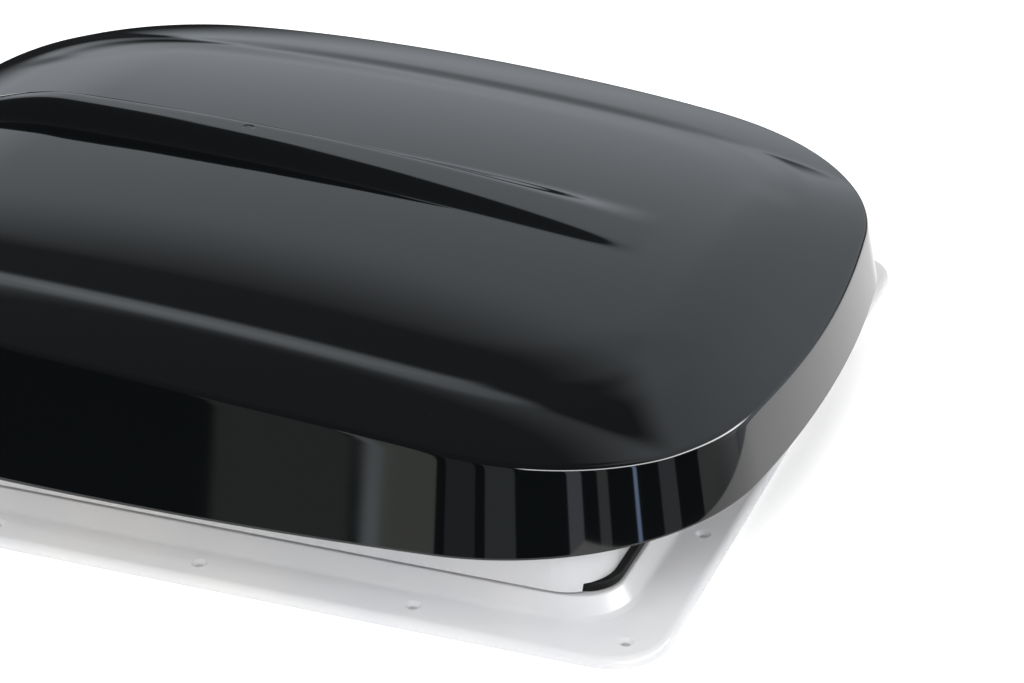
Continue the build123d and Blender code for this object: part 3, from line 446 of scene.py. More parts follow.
@dataclass(frozen=True)
class LightTable(Finish):
    """Backlit opal sheet: matt, even and pale, so that hardly a shadow shows on it."""

    glow: float = 0.35

    def pattern(self, surface: Surface) -> None:
        """Take the gloss away and light the sheet from below.

        Args:
            surface: The material that is being made.
        """
        inputs = surface.shader.inputs
        inputs["Specular IOR Level"].default_value = 0.0
        inputs["Emission Color"].default_value = linear(self.colour)
        inputs["Emission Strength"].default_value = self.glow


ACRYLIC = PolishedAcrylic("polished_acrylic_near_black", "#07090A", 0.04, 1.49)
WHITE = MouldedGloss("moulded_gloss_asa_white", "#DAD9D8", 0.24, 1.5)
NYLON = GrainedPlastic("grained_nylon_grey", "#2B2D30", 0.55, 1.53)
RUBBER = ExtrudedRubber("extruded_epdm_black", "#060606", 0.62, 1.4)
FOAM = ClosedCellFoam("closed_cell_foam_grey", "#1C1E20", 0.9, 1.45)
STEEL = TurnedSteel("tumbled_stainless_steel", "#C9CBCC", 0.22, metallic=1.0)
COATED = PowderCoat("powder_coated_steel_white", "#D2D4D5", 0.38, 1.5)
YARN = WovenYarn("coated_glass_yarn_grey", "#2A2D30", 0.5, 1.5)
PAPER = LightTable("backlit_opal_sheet", "#FAFAFA", 0.9)


# Meshes


def mesh_piece(
    name: str, verts: np.ndarray, faces: Iterable[Face], finish: Finish, smooth: bool = True
) -> Piece:
    """Make a mesh object from points in millimetres.

    Args:
        name: Name of the object and its mesh.
        verts: Points in millimetres, one row each.
        faces: Corner numbers of each face.
        finish: What the piece is made of.
        smooth: Whether its faces are shaded smooth.

    Returns:
        The object, linked into the scene, at the origin.
    """
    mesh = bpy.data.meshes.new(name)
    mesh.from_pydata([tuple(v) for v in (np.asarray(verts) * MM).tolist()], [], list(faces))
    mesh.validate()
    mesh.polygons.foreach_set("use_smooth", [smooth] * len(mesh.polygons))
    mesh.materials.append(finish.material())
    piece = bpy.data.objects.new(name, mesh)
    bpy.context.scene.collection.objects.link(piece)
    return piece


def dress(node: str, finish: Finish) -> None:
    """Give a CAD node its finish and leave its mesh as it is.

    Args:
        node: Name of the CAD node.
        finish: What it is made of.
    """
    for slot in frame["nodes"][node].material_slots:
        slot.material = finish.material()
    LOG.info("%s: dressed in %s", node, finish.name)


def soften(node: str, body: Body, finish: Finish, width_mm: float, sharp_deg: float = 35.0) -> Piece:
    """Stand a merged copy of a CAD node with rounded edges in its place.

    Args:
        node: The CAD node that the copy replaces.
        body: Body that it rides on.
        finish: What it is made of.
        width_mm: Width of the rounded edges in millimetres.
        sharp_deg: Edges that turn more than this are rounded.

    Returns:
        The new piece.
    """
    work = bmesh.new()
    work.from_mesh(frame["nodes"][node].data)
    bmesh.ops.remove_doubles(work, verts=work.verts, dist=MERGE)
    bmesh.ops.dissolve_limit(work, angle_limit=FLAT_ANGLE, verts=work.verts, edges=work.edges)
    mesh = bpy.data.meshes.new(f"{node}_softened")
    work.to_mesh(mesh)
    work.free()
    mesh.materials.clear()
    mesh.materials.append(finish.material())
    mesh.polygons.foreach_set("use_smooth", [True] * len(mesh.polygons))
    piece = bpy.data.objects.new(f"{node}_softened", mesh)
    bpy.context.scene.collection.objects.link(piece)
    round_off = piece.modifiers.new("rounded_edges", "BEVEL")
    round_off.width = width_mm * MM
    round_off.segments = EDGE_STEPS
    round_off.limit_method = "ANGLE"
    round_off.angle_limit = math.radians(sharp_deg)
    round_off.harden_normals = True
    settle(piece)
    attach(piece, body.value)
    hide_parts(node)
    LOG.info("%s: softened copy with %d faces", node, len(piece.data.polygons))
    return piece


def settle(piece: Piece) -> None:
    """Turn a piece's live modifiers into plain mesh and remove them.

    Args:
        piece: The piece, which keeps its object.
    """
    view = bpy.context.evaluated_depsgraph_get()
    view.update()
    baked = bpy.data.meshes.new_from_object(piece.evaluated_get(view))
    baked.name = piece.name
    piece.modifiers.clear()
    piece.data = baked


def geometry_tree(name: str, sockets: dict[str, str]) -> tuple[Tree, Node, Node]:
    """Start a geometry tree with named inputs.

    Args:
        name: Name of the tree.
        sockets: Type of each input by its name.

    Returns:
        The tree, its input node and its output node.
    """
    tree = bpy.data.node_groups.new(name, "GeometryNodeTree")
    tree.interface.new_socket("Geometry", in_out="INPUT", socket_type="NodeSocketGeometry")
    for socket, kind in sockets.items():
        tree.interface.new_socket(socket, in_out="INPUT", socket_type=kind)
    tree.interface.new_socket("Geometry", in_out="OUTPUT", socket_type="NodeSocketGeometry")
    return tree, tree.nodes.new("NodeGroupInput"), tree.nodes.new("NodeGroupOutput")


def close_tree(tree: Tree, source: Node, sink: Node, shape: Node) -> None:
    """End a tree in real mesh with its material set.

    Args:
        tree: The geometry tree.
        source: Its input node.
        sink: Its output node.
        shape: The node that gives the shape.
    """
    real = add_node(tree, "GeometryNodeRealizeInstances", {0: shape})
    dressed = add_node(tree, "GeometryNodeSetMaterial", {0: real, "Material": source.outputs["Material"]})
    smooth = add_node(tree, "GeometryNodeSetShadeSmooth", {0: dressed})
    tree.links.new(smooth.outputs[0], sink.inputs[0])


def grow(name: str, tree: Tree, values: dict[str, object], seed: bpy.types.Mesh | None = None) -> Piece:
    """Run a geometry tree once and keep its result as plain mesh.

    Args:
        name: Name of the new piece.
        tree: The geometry tree.
        values: Values of the tree's inputs by name.
        seed: Mesh that the tree starts from, if it needs one.

    Returns:
        The piece, with no modifier left.
    """
    piece = bpy.data.objects.new(name, seed or bpy.data.meshes.new(f"{name}_seed"))
    bpy.context.scene.collection.objects.link(piece)
    grower = piece.modifiers.new("grow", "NODES")
    grower.node_group = tree
    ids = {item.name: item.identifier for item in tree.interface.items_tree if item.in_out == "INPUT"}
    for key, value in values.items():
        grower[ids[key]] = value
    settle(piece)
    mesh = piece.data
    mesh.materials.clear()
    mesh.materials.append(values["Material"])
    mesh.polygons.foreach_set("material_index", [0] * len(mesh.polygons))
    LOG.info("%s: grown with %d faces", name, len(mesh.polygons))
    return piece


def lathe(profile: Outline, turns: int) -> tuple[np.ndarray, list[Face]]:
    """Turn a profile of radius and height about Z into a closed mesh.

    Args:
        profile: Radius and height of each point, from the lower pole to the upper one, in millimetres.
        turns: Number of steps round the axis.

    Returns:
        Points and faces.
    """
    verts: list[Point] = []
    rows: list[list[int]] = []
    for radius, height in profile:
        if radius == 0:
            rows.append([len(verts)] * turns)
            verts.append((0.0, 0.0, height))
            continue
        rows.append([len(verts) + k for k in range(turns)])
        for k in range(turns):
            angle = 2 * math.pi * k / turns
            verts.append((radius * math.cos(angle), radius * math.sin(angle), height))
    faces = []
    for low, high in zip(rows, rows[1:]):
        for k in range(turns):
            j = (k + 1) % turns
            corners = [low[k], low[j], high[j], high[k]]
            faces.append(tuple(dict.fromkeys(corners)))
    return np.array(verts), faces


# Dome


def smooth_step(share: np.ndarray) -> np.ndarray:
    """Ease from 0 to 1 as the share runs from 0 to 1."""
    held = np.clip(share, 0.0, 1.0)
    return held * held * (3 - 2 * held)


@dataclass
class DomeShell:
    """Dark outer shell of the lid: crowned top with spine and valleys, rolled crease, drafted skirt."""

    left_x: float = 328.0
    right_x: float = 268.0
    half_y: float = 248.0
    side_bow_r: float = 900.0
    front_bow_r: float = 1750.0
    corner_r: float = 142.0
    low_z: float = 42.0
    wall: float = 3.5
    draft_deg: float = 10.8
    crease_roll: float = 2.2
    rim_roll: float = 0.8
    apex_x: float = -215.0
    apex_z: float = 114.4
    arc_r: float = 2940.0
    crease_left_x: float = 321.0
    crease_right_x: float = 261.0
    crease_half_y: float = 236.0
    rim_power: float = 3.7
    rim_h: float = 8.0
    rim_level_share: float = 0.8
    rim_side_share: float = 0.775
    rim_bend: float = 2.0
    rim_side_bend: float = 1.2
    crown_h: float = 13.8
    ledge_blend_share: float = 0.035
    crown_level_x: float = 190.0
    crown_fall_left: float = 140.0
    crown_fall_right: float = 75.0
    valley_left_x: float = 270.0
    valley_right_x: float = 210.0
    valley_half_y: float = 175.0
    valley_power: float = 5.0
    valley_depth: float = 0.5
    valley_outer_w: float = 12.0
    valley_inner_w: float = 30.0
    fade_from_y: float = 85.0
    fade_to_y: float = 115.0
    spine_h: float = 13.0
    spine_high_x: float = -227.0
    spine_end_x: float = 162.0
    spine_half_w: float = 11.5
    spine_widening: float = 0.024
    spine_flank_w: float = 10.0
    spine_back_setback: float = 4.5
    spine_back_flank_w: float = 22.0
    steps_x: int = 150
    steps_y: int = 140
    close_x: tuple[Point, ...] = ((1.0, 0.12, 1.0), (0.82, 0.08, 1.0), (-1.0, 0.06, 0.8))
    close_y: tuple[Point, ...] = (
        (-0.075, 0.05, 2.5),
        (0.075, 0.05, 2.5),
        (-0.765, 0.05, 2.0),
        (0.765, 0.05, 2.0),
        (-1.0, 0.06, 1.0),
        (1.0, 0.06, 1.0),
    )
    crease_steps: int = 7
    skirt_shares: tuple[float, ...] = (0.04, 0.35, 0.67, 0.97)
    roll_bend: float = 0.25
    first_z: float = 100.0
    rounds: int = 30

    def top(self, x: np.ndarray, y: np.ndarray) -> np.ndarray:
        """Height of the top surface over plan points.

        Args:
            x: Places along X in millimetres.
            y: Places along Y in millimetres.

        Returns:
            Heights in millimetres.
        """
        left = x < 0
        across = (np.abs(x) / np.where(left, self.crease_left_x, self.crease_right_x)) ** self.rim_power
        along = (np.abs(y) / self.crease_half_y) ** self.rim_power
        share = (across + along) ** (1 / self.rim_power)
        side = along / np.maximum(across + along, TINY)
        level = self.rim_level_share + (self.rim_side_share - self.rim_level_share) * side
        bend = self.rim_bend + (self.rim_side_bend - self.rim_bend) * side
        rim = self.rim_h * (1 - np.maximum((share - level) / (1 - level), 0.0) ** bend)
        fall = np.where(left, self.crown_fall_left, self.crown_fall_right)
        end = 1 - smooth_step((np.abs(x) - self.crown_level_x) / fall)
        inside = 1 - (y / self.valley_half_y) ** 2
        crown = self.crown_h * (inside + np.sqrt(inside**2 + self.ledge_blend_share**2)) / 2 * end
        across = np.abs(x) / np.where(left, self.valley_left_x, self.valley_right_x)
        along = np.abs(y) / self.valley_half_y
        oval = (across**self.valley_power + along**self.valley_power) ** (1 / self.valley_power)
        past = (oval - 1) * self.valley_half_y
        width = np.where(past > 0, self.valley_outer_w, self.valley_inner_w)
        fade = smooth_step((np.abs(y) - self.fade_from_y) / (self.fade_to_y - self.fade_from_y))
        groove = self.valley_depth * fade * (1 - smooth_step(np.abs(past) / width))
        run = (x - self.spine_high_x) / (self.spine_end_x - self.spine_high_x)
        half_w = self.spine_half_w + self.spine_widening * x
        near = (-y - half_w) / self.spine_flank_w
        far = (y - half_w + self.spine_back_setback) / self.spine_back_flank_w
        flank = 1 - smooth_step(np.where(y < 0, near, far))
        spine = self.spine_h * np.maximum(1 - run**2, 0.0) * end * flank
        crease = self.apex_z - (x - self.apex_x) ** 2 / (2 * self.arc_r)
        return crease + rim + crown - groove + spine

    def corner_centre(self) -> tuple[float, float]:
        """Find the centre of the corner arc that meets both bows smoothly.

        Returns:
            Its X and Y from the middle of the outline.
        """
        half_x = (self.left_x + self.right_x) / 2
        side_x = half_x - self.side_bow_r
        front_y = self.half_y - self.front_bow_r
        side = self.side_bow_r - self.corner_r
        front = self.front_bow_r - self.corner_r
        apart = math.hypot(side_x, front_y)
        along = (side**2 - front**2 + apart**2) / (2 * apart)
        across = math.sqrt(side**2 - along**2)
        ux, uy = -side_x / apart, front_y / apart
        return side_x + ux * along - uy * across, uy * along + ux * across

    def edge(self, along: np.ndarray, on_side: bool) -> tuple[np.ndarray, np.ndarray]:
        """Quarter-symmetric outline points and outward normals, for the front or the +X side.

        Args:
            along: Positions along the side, from -1 to 1, in shares of its run.
            on_side: True for the +X side, False for the +Y side.

        Returns:
            Points and normals in the outline's own middle frame.
        """
        half_x = (self.left_x + self.right_x) / 2
        cx, cy = self.corner_centre()
        reach = self.corner_r * math.sqrt(0.5)
        side_x = half_x - self.side_bow_r
        front_y = self.half_y - self.front_bow_r
        if on_side:
            y = along * (cy + reach)
            bow_end = cy + self.corner_r * cy / math.hypot(cx - side_x, cy)
            on_bow = np.abs(y) <= bow_end
            centre = np.stack([np.where(on_bow, side_x, cx), np.where(on_bow, 0.0, np.sign(y) * cy)], 1)
            radius = np.where(on_bow, self.side_bow_r, self.corner_r)
            x = centre[:, 0] + np.sqrt(radius**2 - (y - centre[:, 1]) ** 2)
        else:
            x = along * (cx + reach)
            bow_end = cx + self.corner_r * cx / math.hypot(cx, cy - front_y)
            on_bow = np.abs(x) <= bow_end
            centre = np.stack([np.where(on_bow, 0.0, np.sign(x) * cx), np.where(on_bow, front_y, cy)], 1)
            radius = np.where(on_bow, self.front_bow_r, self.corner_r)
            y = centre[:, 1] + np.sqrt(radius**2 - (x - centre[:, 0]) ** 2)
        points = np.stack([x, y], 1)
        return points, (points - centre) / radius[:, None]

    @staticmethod
    def spaced(count: int, dense: Iterable[Point], samples: int = 4001) -> np.ndarray:
        """Positions from -1 to 1 that lie closer where a feature needs it.

        Args:
            count: Number of steps.
            dense: Middle, half width and extra density of each close-set zone, in the same shares.
            samples: Points at which the density is added up.

        Returns:
            Positions, one more than the steps.
        """
        fine = np.linspace(-1, 1, samples)
        weight = np.ones_like(fine)
        for middle, half, extra in dense:
            weight += extra * np.exp(-(((fine - middle) / half) ** 2))
        total = np.concatenate([[0.0], np.cumsum((weight[1:] + weight[:-1]) / 2)])
        return np.interp(np.linspace(0, total[-1], count + 1), total, fine)

    def around(self, us: np.ndarray, vs: np.ndarray) -> tuple[np.ndarray, np.ndarray]:
        """Outline in order round the grid's border, counter-clockwise from the -X -Y corner.

        Args:
            us: Grid positions along X.
            vs: Grid positions along Y.

        Returns:
            Plan points and outward normals.
        """
        mid = (self.right_x - self.left_x) / 2
        flip_y, flip_x = np.array([1.0, -1.0]), np.array([-1.0, 1.0])
        points, normals = (
            np.concatenate([(top * flip_y)[:-1], side[:-1], top[::-1][:-1], (side * flip_x)[::-1][:-1]])
            for top, side in zip(self.edge(us, False), self.edge(vs, True))
        )
        return points + np.array([mid, 0.0]), normals

    def crease_ring(self, points: np.ndarray, normals: np.ndarray, inset: float, drop: float) -> np.ndarray:
        """Find where the top meets the skirt.

        Args:
            points: Plan points of the outline.
            normals: Outward normals of the outline.
            inset: Distance inside the skirt's outer face.
            drop: Distance below the top surface.

        Returns:
            Plan place and height for each outline point.
        """
        slope = math.tan(math.radians(self.draft_deg))
        z = np.full(len(points), self.first_z)
        for _ in range(self.rounds):
            plan = points - normals * (inset + slope * (z - self.low_z))[:, None]
            z = self.top(plan[:, 0], plan[:, 1]) - drop
        return np.column_stack([plan, z])

    def grid(self, border: np.ndarray, us: np.ndarray, vs: np.ndarray, drop: float) -> np.ndarray:
        """Fill a border ring with a plan grid and lift it onto the top surface.

        Args:
            border: Plan points in order round the grid's border.
            us: Grid positions along X.
            vs: Grid positions along Y.
            drop: Distance below the top surface.

        Returns:
            Points as an array of rows along X and columns along Y.
        """
        nu, nv = len(us) - 1, len(vs) - 1
        low, right = border[: nu + 1], border[nu : nu + nv + 1]
        high = border[nu + nv : 2 * nu + nv + 1][::-1]
        left = np.concatenate([border[2 * nu + nv :], border[:1]])[::-1]
        a = ((us + 1) / 2)[:, None, None]
        b = ((vs + 1) / 2)[None, :, None]
        plan = (1 - b) * low[:, None] + b * high[:, None] + (1 - a) * left[None] + a * right[None]
        plan = plan - (1 - a) * (1 - b) * low[0] - a * (1 - b) * low[-1]
        plan = plan - (1 - a) * b * high[0] - a * b * high[-1]
        z = self.top(plan[..., 0], plan[..., 1]) - drop
        return np.concatenate([plan, z[..., None]], 2)

    def build(self) -> Piece:
        """Build the closed shell: top, crease, skirt, lower rim and inner wall.

        Returns:
            The dome's piece.
        """
        us = self.spaced(self.steps_x, self.close_x)
        vs = self.spaced(self.steps_y, self.close_y)
        points, normals = self.around(us, vs)
        slope = math.tan(math.radians(self.draft_deg))
        crease = self.crease_ring(points, normals, 0.0, 0.0)
        top_edge = crease[:, :2] - normals * self.crease_roll
        start = np.column_stack([top_edge, self.top(top_edge[:, 0], top_edge[:, 1])])
        low_z = crease[:, 2] - self.crease_roll
        end = np.column_stack([points - normals * (slope * (low_z - self.low_z))[:, None], low_z])
        foot = np.column_stack([points, np.full(len(points), self.low_z)])
        rings = []
        for share in np.linspace(0, 1, self.crease_steps + 1)[1:]:
            rings.append((1 - share) ** 2 * start + 2 * share * (1 - share) * crease + share**2 * end)
        for share in self.skirt_shares:
            rings.append(end + (foot - end) * share)
        roll, bend, wall = self.rim_roll, self.roll_bend * self.rim_roll, self.wall
        outer = ((slope * roll, roll), (bend, bend), (roll, 0.0))
        inner = ((wall - roll, 0.0), (wall - bend, bend), (wall + slope * roll, roll))
        for inset, rise in outer + inner:
            rings.append(np.column_stack([points - normals * inset, np.full(len(points), self.low_z + rise)]))
        inner_edge = self.crease_ring(points, normals, wall, wall)
        outer_grid = self.grid(top_edge, us, vs, 0.0)
        return self.join(outer_grid, rings, self.grid(inner_edge[:, :2], us, vs, wall))

    def join(self, outer: np.ndarray, rings: list[np.ndarray], inner: np.ndarray) -> Piece:
        """Join the grids and rings into one closed mesh and stand it in for the CAD node.

        Args:
            outer: Points of the top's grid.
            rings: Points of each ring, from the crease down and round the rim.
            inner: Points of the inner wall's grid.

        Returns:
            The dome's piece.
        """
        nu, nv = outer.shape[0] - 1, outer.shape[1] - 1
        number = np.arange((nu + 1) * (nv + 1)).reshape(nu + 1, nv + 1)
        border = np.concatenate([number[:-1, 0], number[-1, :-1], number[1:, -1][::-1], number[0, 1:][::-1]])
        verts = [outer.reshape(-1, 3)] + rings + [inner.reshape(-1, 3)]
        faces = []
        quads = np.stack([number[:-1, :-1], number[1:, :-1], number[1:, 1:], number[:-1, 1:]], -1)
        quads = quads.reshape(-1, 4)
        faces += [tuple(q) for q in quads.tolist()]
        count = len(border)
        rows = [border] + [number.size + k * count + np.arange(count) for k in range(len(rings))]
        inner_start = number.size + len(rings) * count
        rows.append(border + inner_start)
        for upper, lower in zip(rows, rows[1:]):
            band = np.stack([upper, lower, np.roll(lower, -1), np.roll(upper, -1)], -1)
            faces += [tuple(q) for q in band.tolist()]
        faces += [tuple(q[::-1]) for q in (quads + inner_start).tolist()]
        piece = mesh_piece("dome_shell_formed", np.concatenate(verts), faces, ACRYLIC)
        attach(piece, Body.LID.value)
        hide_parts("dome_shell")
        LOG.info("dome_shell: formed with %d faces", len(piece.data.polygons))
        return piece


# Studio


@dataclass(frozen=True)
class Window:
    """One bright or dim panel of the room in front, which only the gloss shows."""

    start_deg: float
    end_deg: float
    level: float
    tint: str = "#FFFFFF"


@dataclass(frozen=True)
class Softbox:
    """One square light that the matt surfaces get and the gloss doesn't show."""

    name: str
    place: Point
    aim: Point
    size: float
    power: float


@dataclass
class Studio:
    """Light table, soft lights, the room that the gloss shows, and the camera at the photograph's place."""

    floor_z: float = -0.4
    floor_left: float = -900.0
    floor_right: float = 415.0
    floor_front: float = -400.0
    floor_back: float = 850.0
    roof_hole_half: float = 200.0
    eye: Point = (0.5698, -1.24213, 0.70345)
    yaw: float = 0.375
    pitch: float = 0.4641
    roll: float = -0.0151
    lens_mm: float = 93.17
    sensor_mm: float = 36.0
    clip: Span = (0.01, 50.0)
    ambient: float = 0.62
    wall_level: float = 0.9
    wall_tint: str = "#EAF1F8"
    room_level: float = 0.12
    dark_level: float = 0.03
    room_rise: Span = (0.0, 0.35)
    box_slant: float = -0.35
    box_top: Span = (0.69, 0.835)
    box_foot: Span = (-0.02, 0.13)
    box_front: Span = (-0.1, 0.12)
    side_x: Span = (0.30, 0.62)
    side_y: Span = (0.35, 0.75)
    side_foot: Span = (-0.5, -0.2)
    side_top: Span = (0.5, 0.75)
    window_edge_deg: float = 0.35
    window_foot: Span = (-0.32, -0.24)
    window_top: Span = (0.12, 0.20)
    lamp_level: float = 14.0
    lamp_start_deg: Span = (-66.0, -60.0)
    lamp_end_deg: Span = (40.0, 50.0)
    lamp_foot: Span = (0.10, 0.14)
    lamp_top: Span = (0.30, 0.36)
    softboxes: tuple[Softbox, ...] = (
        Softbox("overhead_softbox", (-0.1, 0.3, 2.0), (0.0, 0.0, 0.0), 1.8, 14.0),
        Softbox("front_softbox", (0.1, -1.5, 1.5), (-0.1, -0.2, 0.02), 1.4, 20.0),
        Softbox("side_softbox", (2.4, -0.2, 1.2), (0.0, 0.0, 0.05), 1.4, 12.0),
    )
    windows: tuple[Window, ...] = (
        Window(-112.5, -105.0, 0.33, "#F4FFF4"),
        Window(-104.3, -103.4, 1.7, "#F0F8FF"),
        Window(-103.4, -99.5, 0.8, "#FBFFF4"),
        Window(-96.0, -84.0, 0.22),
        Window(-80.0, -68.0, 0.45, "#F0F8FF"),
        Window(-47.0, -41.0, 1.0, "#F0F0FF"),
        Window(-34.5, -30.0, 0.55),
        Window(-18.8, -17.2, 4.0, "#B8D4FF"),
        Window(-7.0, 1.0, 0.5, "#F0F4FF"),
        Window(13.0, 38.0, 0.45),
    )

    def build(self) -> None:
        """Build everything that is not part of the object."""
        bpy.context.scene.view_settings.view_transform = "Standard"
        self.floor()
        self.world()
        for softbox in self.softboxes:
            self.hang(softbox)
        self.camera()

    def floor(self) -> None:
        """Lay the light table, with the square opening that the neck goes down into."""
        hole = self.roof_hole_half
        xs = (self.floor_left, -hole, hole, self.floor_right)
        ys = (self.floor_front, -hole, hole, self.floor_back)
        verts = np.array([(x, y, self.floor_z) for y in ys for x in xs])
        faces = [
            (j * 4 + i, j * 4 + i + 1, j * 4 + i + 5, j * 4 + i + 4)
            for j in range(3)
            for i in range(3)
            if (i, j) != (1, 1)
        ]
        mesh_piece("light_table", verts, faces, PAPER, smooth=False)

    def world(self) -> None:
        """Light the scene evenly, show the camera plain white, and show the gloss the studio's room."""
        world = bpy.data.worlds.new("studio_room")
        world.use_nodes = True
        tree = world.node_tree
        tree.nodes.clear()
        shown = self.room(tree)
        plain = add_node(tree, BACKGROUND, {"Color": linear("#FFFFFF"), "Strength": 1.0})
        even = add_node(tree, BACKGROUND, {"Color": linear("#FFFFFF"), "Strength": self.ambient})
        rays = add_node(tree, "ShaderNodeLightPath").outputs
        lit = add_node(tree, "ShaderNodeMixShader", {0: rays["Is Glossy Ray"], 1: even, 2: shown})
        mix = add_node(tree, "ShaderNodeMixShader", {0: rays["Is Camera Ray"], 1: lit, 2: plain})
        add_node(tree, "ShaderNodeOutputWorld", {"Surface": mix})
        bpy.context.scene.world = world

    def room(self, tree: Tree) -> Node:
        """Build what the gloss shows by its direction: softbox, side panel, dim room, windows and lamp.

        Args:
            tree: The world's tree.

        Returns:
            The node that gives the room's light.
        """
        way = add_node(tree, "ShaderNodeTexCoord").outputs["Generated"]
        x, y, z = add_node(tree, "ShaderNodeSeparateXYZ", {0: way}).outputs[:3]

        def overlap(*levels: Socket | Node | float) -> Node:
            """Multiply levels, so that light is left only where all of them are bright.

            Args:
                *levels: The levels, which are 0 to 1.

            Returns:
                The node or socket that gives their product.
            """
            shared = levels[0]
            for level in levels[1:]:
                shared = add_node(tree, MATH, {0: shared, 1: level}, TIMES)
            return shared

        def eased(value: Socket | Node, rise: Span | None, fall: Span | None) -> Node:
            """Level that rises over one span of a value and falls over another."""
            runs = [spread(value, span, low, 1.0 - low) for span, low in ((rise, 0.0), (fall, 1.0)) if span]
            return overlap(*(add_node(tree, RAMP, run, EASED) for run in runs))

        slant = add_node(tree, MATH, {0: x, 1: self.box_slant, 2: z}, {"operation": "MULTIPLY_ADD"})
        height = overlap(eased(slant, None, self.box_top), eased(z, self.box_foot, None))
        box = overlap(height, eased(y, self.box_front, None))
        corner = overlap(eased(x, self.side_x, None), eased(y, self.side_y, None))
        side = overlap(corner, eased(z, self.side_foot, self.side_top))
        wall = overlap(add_node(tree, MATH, {0: box, 1: side}, {"operation": "MAXIMUM"}), self.wall_level)
        dim = add_node(tree, RAMP, spread(z, self.room_rise, self.dark_level, self.room_level), EASED)
        level = add_node(tree, MATH, {0: wall, 1: dim}, {"operation": "MAXIMUM"})
        shown = add_node(tree, BACKGROUND, {"Color": linear(self.wall_tint), "Strength": level})
        turn = overlap(add_node(tree, MATH, {0: y, 1: x}, {"operation": "ARCTAN2"}), math.degrees(1.0))
        band = eased(z, self.window_foot, self.window_top)
        edge = self.window_edge_deg
        panes = []
        for window in self.windows:
            start, end = window.start_deg, window.end_deg
            lit = eased(turn, (start - edge, start + edge), (end - edge, end + edge))
            panes.append((window.tint, overlap(lit, band, window.level)))
        run = eased(turn, self.lamp_start_deg, self.lamp_end_deg)
        panes.append(("#FFFFFF", overlap(run, eased(z, self.lamp_foot, self.lamp_top), self.lamp_level)))
        for tint, strength in panes:
            pane = add_node(tree, BACKGROUND, {"Color": linear(tint), "Strength": strength})
            shown = add_node(tree, "ShaderNodeAddShader", {0: shown, 1: pane})
        return shown

    def hang(self, softbox: Softbox) -> None:
        """Hang a softbox.

        Args:
            softbox: The light to hang.
        """
        lamp = bpy.data.lights.new(softbox.name, "AREA")
        lamp.size = softbox.size
        lamp.energy = softbox.power
        holder = bpy.data.objects.new(softbox.name, lamp)
        holder.location = softbox.place
        toward = Vector(softbox.aim) - Vector(softbox.place)
        holder.rotation_euler = toward.to_track_quat("-Z", "Y").to_euler()
        holder.visible_glossy = False
        bpy.context.scene.collection.objects.link(holder)

    def camera(self) -> None:
        """Stand the camera where the photograph was taken from."""
        cos_p, sin_p = math.cos(self.pitch), math.sin(self.pitch)
        cos_y, sin_y = math.cos(self.yaw), math.sin(self.yaw)
        ahead = Vector((-sin_y * cos_p, cos_y * cos_p, -sin_p))
        level = Vector((cos_y, sin_y, 0.0))
        above = level.cross(ahead)
        right = level * math.cos(self.roll) + above * math.sin(self.roll)
        up = above * math.cos(self.roll) - level * math.sin(self.roll)
        data = bpy.data.cameras.new("photo_camera")
        data.lens = self.lens_mm
        data.sensor_width = self.sensor_mm
        data.clip_start, data.clip_end = self.clip
        camera = bpy.data.objects.new("photo_camera", data)
        turn = Matrix((right, up, -ahead)).transposed().to_4x4()
        camera.matrix_world = Matrix.Translation(self.eye) @ turn
        bpy.context.scene.collection.objects.link(camera)
        bpy.context.scene.camera = camera


# Fixings


@dataclass(frozen=True)
class Place:
    """Where one fixing sits: the middle of its head's top, and the way the head looks."""

    top: Point
    aim: Point
    length: float = 0.0
    head_r: float = 0.0
    shank_r: float = 0.0


def loose_parts(node: str) -> list[np.ndarray]:
    """Split a CAD node's mesh into its separate solids.

    Args:
        node: Name of the CAD node.

    Returns:
        The points of each solid, in millimetres.
    """
    work = bmesh.new()
    work.from_mesh(frame["nodes"][node].data)
    bmesh.ops.remove_doubles(work, verts=work.verts, dist=MERGE)
    parts = []
    left = set(work.verts)
    while left:
        edge = [left.pop()]
        part = []
        while edge:
            vert = edge.pop()
            part.append(tuple(vert.co / MM))
            for link in vert.link_edges:
                other = link.other_vert(vert)
                if other in left:
                    left.discard(other)
                    edge.append(other)
        parts.append(np.array(part))
    work.free()
    return parts


def places_of(node: str, axis: int) -> list[Place]:
    """Find where the fixings of a CAD node sit and which way their heads look.

    Args:
        node: Name of the CAD node.
        axis: Number of the axis that they lie along.

    Returns:
        One place for each fixing.
    """
    found = []
    for part in loose_parts(node):
        low, high = part.min(0), part.max(0)
        middle = (low + high) / 2
        across = np.linalg.norm(np.delete(part - middle, axis, 1), axis=1)
        run = part[:, axis]
        near = END_SHARE * (high - low)[axis]
        near_low = across[run < low[axis] + near].max()
        near_high = across[run > high[axis] - near].max()
        up = near_high >= near_low
        top = middle.copy()
        top[axis] = high[axis] if up else low[axis]
        aim = np.zeros(3)
        aim[axis] = 1.0 if up else -1.0
        found.append(
            Place(
                tuple(top),
                tuple(aim),
                float((high - low)[axis]),
                float(across.max()),
                float(min(near_low, near_high)),
            )
        )
    return found


